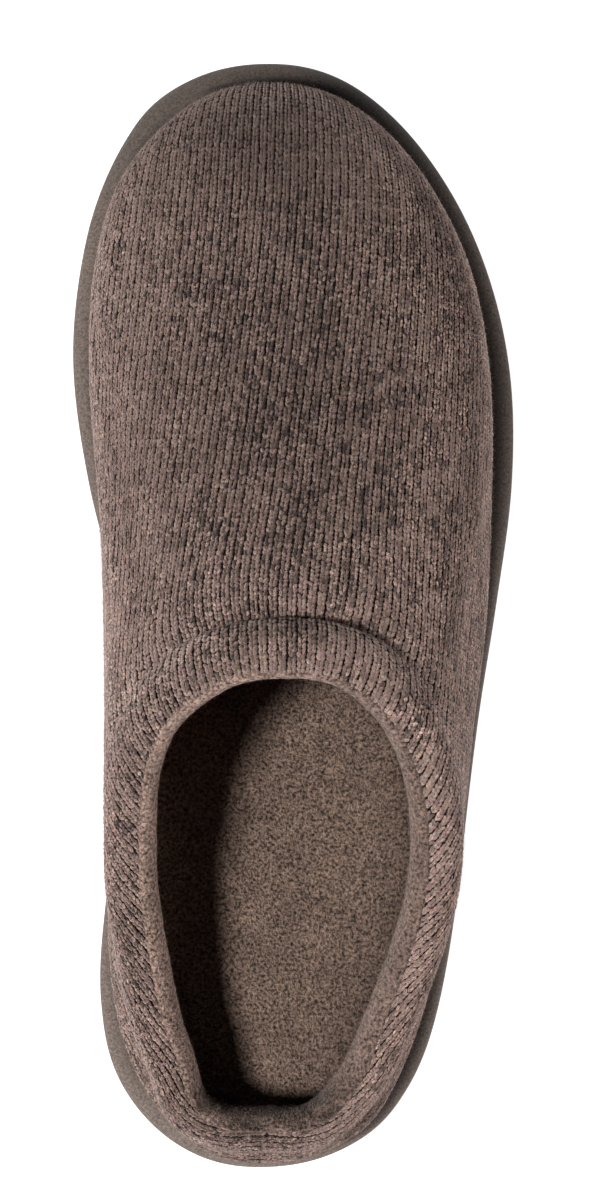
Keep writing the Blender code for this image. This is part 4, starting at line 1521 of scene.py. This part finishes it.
def make_lining(settings):
    """The fleece lining: from a turned edge on the roll, over its nose and down inside to the footbed."""
    around = LINING_AROUND
    angles = turn_angles(around)
    outer, collar = upper_outer_rings(angles)
    inner = inside_rings(outer, collar, WALL)[::4]
    seam = seam_angles(angles)
    places = [*LINING_EDGE_SHARES, *np.linspace(LINING_EDGE_END, 1, LINING_ROLL_ROWS)[:-1]]
    roll = roll_rings(collar, seam, -collar.section.inner_tuck, places)
    stack = np.array([*roll, *reversed(inner)])
    normals = skin_normals(stack)
    rows = np.arange(len(stack))
    edge = np.sqrt(np.clip(rows / LINING_EDGE_ROW, 0, 1))[:, None]
    bead = LINING_BEAD * bell(rows - LINING_EDGE_ROW, LINING_BEAD_ROWS)[:, None]
    swell = (LINING_SWELL + bead) * edge - LINING_THICKNESS * LINING_TURN_IN * (1 - edge)
    clumps = lattice_noise(stack, LINING_CLUMP_PITCH, SEED + 6)
    pile = lattice_noise(stack, LINING_PILE_PITCH, SEED + 5) + 0.5 * clumps
    face = stack + normals * (swell + settings.lining_pile * pile * edge)[..., None]
    back = stack - normals * LINING_THICKNESS
    closed = np.array([*face, *reversed(back)])
    closed[[len(stack) - 1, len(stack)], :, 2] += LINING_SWELL
    faces = ring_quads(len(closed), around, True).tolist()
    speck_size = LINING_SPECKS * settings.loop_pitch
    finish = fleece_material("lining_pile", settings.lining_colour, speck_size, LINING_SHEEN)
    piece = new_piece("lining", closed.reshape(-1, 3), faces, finish)
    # Painted shade at the heel and on the outer side, varied by clumps of pile at the heel
    heel = 1 - ease(turn_of(angles), *LINING_HEEL_TURNS)
    inside = ease(rows, LINING_EDGE_ROW, LINING_INSIDE_ROW)
    heel_painted_shade = np.interp(inside, (0, 1), LINING_HEEL_PAINTED_SHADES)[:, None] * heel
    outer_painted_shade = LINING_OUTER_PAINTED_SHADE * ease(np.sin(angles), *LINING_OUTER_FACING)
    tone = (1 - heel_painted_shade) * (1 - outer_painted_shade)
    tone = tone * np.clip(1 + LINING_CLUMPS * heel * pile, *CLUMP_LIMITS)
    write_tone(piece, np.concatenate([tone, tone[::-1]]).ravel())
    width = np.linalg.norm(np.diff(stack, axis=1, append=stack[:, :1]), axis=-1).sum(axis=1).max()
    length = np.linalg.norm(np.diff(stack, axis=0), axis=-1).sum(axis=0).max()

    rng = np.random.default_rng(SEED + 8)
    showing = face[LINING_PILE_ROWS]
    closed_grid = np.concatenate([showing, showing[:, :1]], axis=1)
    roots, row, column = scatter(closed_grid, settings.pile_count, rng)
    hairs = normals[LINING_PILE_ROWS][row, column]
    length, width = settings.pile_length, settings.pile_width
    fuzz = join_hairs("lining_fuzz", roots, hairs, length, width, finish, rng)
    write_tone(fuzz, np.ones(len(fuzz.data.vertices)))


def add_sun(scene, name, strength, softness_deg, elevation_deg, bearing_deg):
    """A soft, even light from a height and a bearing, measured from the outer side towards the toe."""
    sun = bpy.data.lights.new(name, "SUN")
    sun.energy = strength
    sun.angle = radians(softness_deg)
    sun.color = SUN_COLOUR
    light = bpy.data.objects.new(name, sun)
    elevation, bearing = radians(elevation_deg), radians(bearing_deg)
    towards = Vector((cos(bearing) * cos(elevation), sin(bearing) * cos(elevation), sin(elevation)))
    light.rotation_euler = towards.to_track_quat("Z", "Y").to_euler()
    scene.collection.objects.link(light)


def make_stage(settings):
    """Table, light from the left and the camera above."""
    size = TABLE_HALF_SIZE
    mesh = bpy.data.meshes.new("table")
    corners = [(-size, -size, 0), (size, -size, 0), (size, size, 0), (-size, size, 0)]
    mesh.from_pydata(corners, [], [(0, 1, 2, 3)])
    mesh.materials.append(floor_material(settings))
    table = bpy.data.objects.new("table", mesh)
    scene = bpy.context.scene
    scene.collection.objects.link(table)

    add_sun(scene, "window_light", settings.light_strength, settings.light_softness_deg,
            settings.light_elevation_deg, settings.light_bearing_deg)
    add_sun(scene, "reflector", settings.fill_strength, settings.fill_softness_deg,
            settings.fill_elevation_deg, settings.fill_bearing_deg)

    world = bpy.data.worlds.new("studio")
    world.use_nodes = True
    tree = world.node_tree
    surround = tree.nodes["Background"]
    surround.inputs["Color"].default_value = (1, 1, 1, 1)
    seen = add_node(tree, "ShaderNodeLightPath").outputs["Is Camera Ray"]
    tree.links.new(scaled(tree, seen, settings.room_light, 1.0), surround.inputs["Strength"])
    scene.world = world

    lens = bpy.data.cameras.new("camera")
    lens.sensor_fit = "VERTICAL"
    lens.angle_y = radians(CAMERA_FIELD_DEG)
    camera = bpy.data.objects.new("camera", lens)
    camera.location = CAMERA_PLACE
    scene.collection.objects.link(camera)
    scene.camera = camera
    scene.view_settings.view_transform = "Standard"


# Add-on

class SlipperKnit(bpy.types.PropertyGroup):
    wale_width: bpy.props.FloatProperty(
        name="Wale", description="Width of a column of stitches", default=0.00215, unit="LENGTH"
    )
    course_height: bpy.props.FloatProperty(
        name="Course", description="Length of one stitch", default=0.00128, unit="LENGTH"
    )
    yarn_width: bpy.props.FloatProperty(
        name="Yarn", description="Width of a stitch leg", default=0.00093, unit="LENGTH"
    )
    yarn_relief: bpy.props.FloatProperty(
        name="Relief", description="Half the height of a stitch leg", default=0.00042, unit="LENGTH"
    )
    vamp_end: bpy.props.FloatProperty(
        name="Vamp end", description="Y where the vamp ends and the quarters begin",
        default=-0.012, unit="LENGTH"
    )
    light_yarn: bpy.props.FloatVectorProperty(
        name="Light yarn", description="Lightest yarn", default=(0.425, 0.306, 0.266), subtype="COLOR"
    )
    mid_yarn: bpy.props.FloatVectorProperty(
        name="Middle yarn", description="Most of the yarn", default=(0.235, 0.156, 0.134), subtype="COLOR"
    )
    dark_yarn: bpy.props.FloatVectorProperty(
        name="Dark yarn", description="Darkest yarn", default=(0.045, 0.031, 0.029), subtype="COLOR"
    )
    softness: bpy.props.FloatProperty(
        name="Softness", description="How far brushing evens out the shading of the stitches", default=0.6
    )
    yarn_sheen: bpy.props.FloatProperty(
        name="Fuzz", description="Light caught by loose fibres at the edges", default=0.9, subtype="FACTOR"
    )
    fuzz_count: bpy.props.IntProperty(
        name="Wool ends", description="Number of loose wool ends", default=34000
    )
    fuzz_length: bpy.props.FloatProperty(
        name="Wool end length", description="Length of a loose wool end", default=0.0012, unit="LENGTH"
    )
    fuzz_width: bpy.props.FloatProperty(
        name="Wool end width", description="Half the width of a loose wool end",
        default=0.000024, unit="LENGTH"
    )


class SlipperFleece(bpy.types.PropertyGroup):
    insole_colour: bpy.props.FloatVectorProperty(
        name="Insole", description="Colour of the footbed", default=(0.205, 0.142, 0.112), subtype="COLOR"
    )
    lining_colour: bpy.props.FloatVectorProperty(
        name="Lining", description="Colour of the lining", default=(0.345, 0.237, 0.198), subtype="COLOR"
    )
    loop_pitch: bpy.props.FloatProperty(
        name="Loops", description="Distance between the footbed's loops", default=0.00075, unit="LENGTH"
    )
    loop_height: bpy.props.FloatProperty(
        name="Loop height", description="How far the loops stand up", default=0.00034, unit="LENGTH"
    )
    lining_pile: bpy.props.FloatProperty(
        name="Pile", description="Unevenness of the lining", default=0.00016, unit="LENGTH"
    )
    pile_count: bpy.props.IntProperty(
        name="Pile ends", description="Number of loose fibres on the lining", default=12000
    )
    pile_length: bpy.props.FloatProperty(
        name="Pile length", description="Length of a loose fibre on the lining", default=0.0009, unit="LENGTH"
    )
    pile_width: bpy.props.FloatProperty(
        name="Pile width", description="Half the width of a loose fibre", default=0.000026, unit="LENGTH"
    )


class SlipperSole(bpy.types.PropertyGroup):
    rubber_colour: bpy.props.FloatVectorProperty(
        name="Rubber", description="Colour of the sole", default=(0.181, 0.144, 0.124), subtype="COLOR"
    )
    tread_pitch: bpy.props.FloatProperty(
        name="Tread pitch", description="Distance between tread grooves", default=0.0075, unit="LENGTH"
    )
    tread_depth: bpy.props.FloatProperty(
        name="Tread depth", description="Depth of the tread grooves", default=0.0012, unit="LENGTH"
    )


class SlipperStage(bpy.types.PropertyGroup):
    floor_colour: bpy.props.FloatVectorProperty(
        name="Table", description="Colour of the table", default=(0.35, 0.35, 0.35), subtype="COLOR"
    )
    floor_glow: bpy.props.FloatProperty(
        name="Glow", description="Even light of the table", default=0.98
    )
    light_strength: bpy.props.FloatProperty(
        name="Light", description="Strength of the light", default=3.6
    )
    light_softness_deg: bpy.props.FloatProperty(
        name="Softness", description="Width of the light, in degrees", default=13.0
    )
    light_elevation_deg: bpy.props.FloatProperty(
        name="Height", description="Height of the light, in degrees", default=56.0
    )
    light_bearing_deg: bpy.props.FloatProperty(
        name="Bearing", description="Where the light stands, in degrees from the outer side",
        default=LIGHT_BEARING_DEG
    )
    fill_strength: bpy.props.FloatProperty(
        name="Reflector", description="Strength of the reflector's light", default=1.6
    )
    fill_softness_deg: bpy.props.FloatProperty(
        name="Reflector softness", description="Width of the reflector, in degrees", default=20.0
    )
    fill_elevation_deg: bpy.props.FloatProperty(
        name="Reflector height", description="Height of the reflector, in degrees", default=14.0
    )
    fill_bearing_deg: bpy.props.FloatProperty(
        name="Reflector bearing", description="Where the reflector stands, in degrees", default=-25.0
    )
    room_light: bpy.props.FloatProperty(
        name="Room", description="Even light of the room", default=0.02
    )


class SLIPPER_OT_stage(bpy.types.Operator):
    """Set up table, light and camera"""
    bl_idname = "slipper.stage"
    bl_label = "Stage"

    def execute(self, context):
        make_stage(context.scene.slipper_stage)
        return {"FINISHED"}


class SLIPPER_OT_sole(bpy.types.Operator):
    """Make the rubber sole with its tread"""
    bl_idname = "slipper.sole"
    bl_label = "Sole"

    def execute(self, context):
        make_outsole(context.scene.slipper_sole)
        return {"FINISHED"}


class SLIPPER_OT_insole(bpy.types.Operator):
    """Make the fleece footbed"""
    bl_idname = "slipper.insole"
    bl_label = "Insole"

    def execute(self, context):
        make_insole(context.scene.slipper_fleece)
        return {"FINISHED"}


class SLIPPER_OT_upper_body(bpy.types.Operator):
    """Make the padded body of the upper"""
    bl_idname = "slipper.upper_body"
    bl_label = "Upper body"

    def execute(self, context):
        make_ground(context.scene.slipper_knit)
        return {"FINISHED"}


class SLIPPER_OT_knit(bpy.types.Operator):
    """Lay the stitches of the knit on the upper"""
    bl_idname = "slipper.knit"
    bl_label = "Knit"

    def execute(self, context):
        make_knit(context.scene.slipper_knit)
        make_fuzz(context.scene.slipper_knit)
        return {"FINISHED"}


class SLIPPER_OT_lining(bpy.types.Operator):
    """Make the fleece lining of the upper"""
    bl_idname = "slipper.lining"
    bl_label = "Lining"

    def execute(self, context):
        make_lining(context.scene.slipper_fleece)
        return {"FINISHED"}


STEPS = (
    SLIPPER_OT_stage,
    SLIPPER_OT_sole,
    SLIPPER_OT_insole,
    SLIPPER_OT_upper_body,
    SLIPPER_OT_knit,
    SLIPPER_OT_lining,
)
SETTINGS = {
    "slipper_knit": SlipperKnit,
    "slipper_fleece": SlipperFleece,
    "slipper_sole": SlipperSole,
    "slipper_stage": SlipperStage,
}


class SLIPPER_PT_panel(bpy.types.Panel):
    """Settings and steps of the slipper"""
    bl_idname = "SLIPPER_PT_panel"
    bl_label = "Slipper"
    bl_space_type = "VIEW_3D"
    bl_region_type = "UI"
    bl_category = "Slipper"

    def draw(self, context):
        for name, kind in SETTINGS.items():
            box = self.layout.box()
            for setting in kind.__annotations__:
                box.prop(getattr(context.scene, name), setting)
        for step in STEPS:
            self.layout.operator(step.bl_idname)


CLASSES = (*SETTINGS.values(), *STEPS, SLIPPER_PT_panel)


def register():
    for kind in CLASSES:
        bpy.utils.register_class(kind)
    for name, kind in SETTINGS.items():
        setattr(bpy.types.Scene, name, bpy.props.PointerProperty(type=kind))


def unregister():
    for name in SETTINGS:
        delattr(bpy.types.Scene, name)
    for kind in reversed(CLASSES):
        bpy.utils.unregister_class(kind)


def main():
    register()
    for step in STEPS:
        group, name = step.bl_idname.split(".")
        getattr(getattr(bpy.ops, group), name)()


if __name__ == "__main__":
    main()
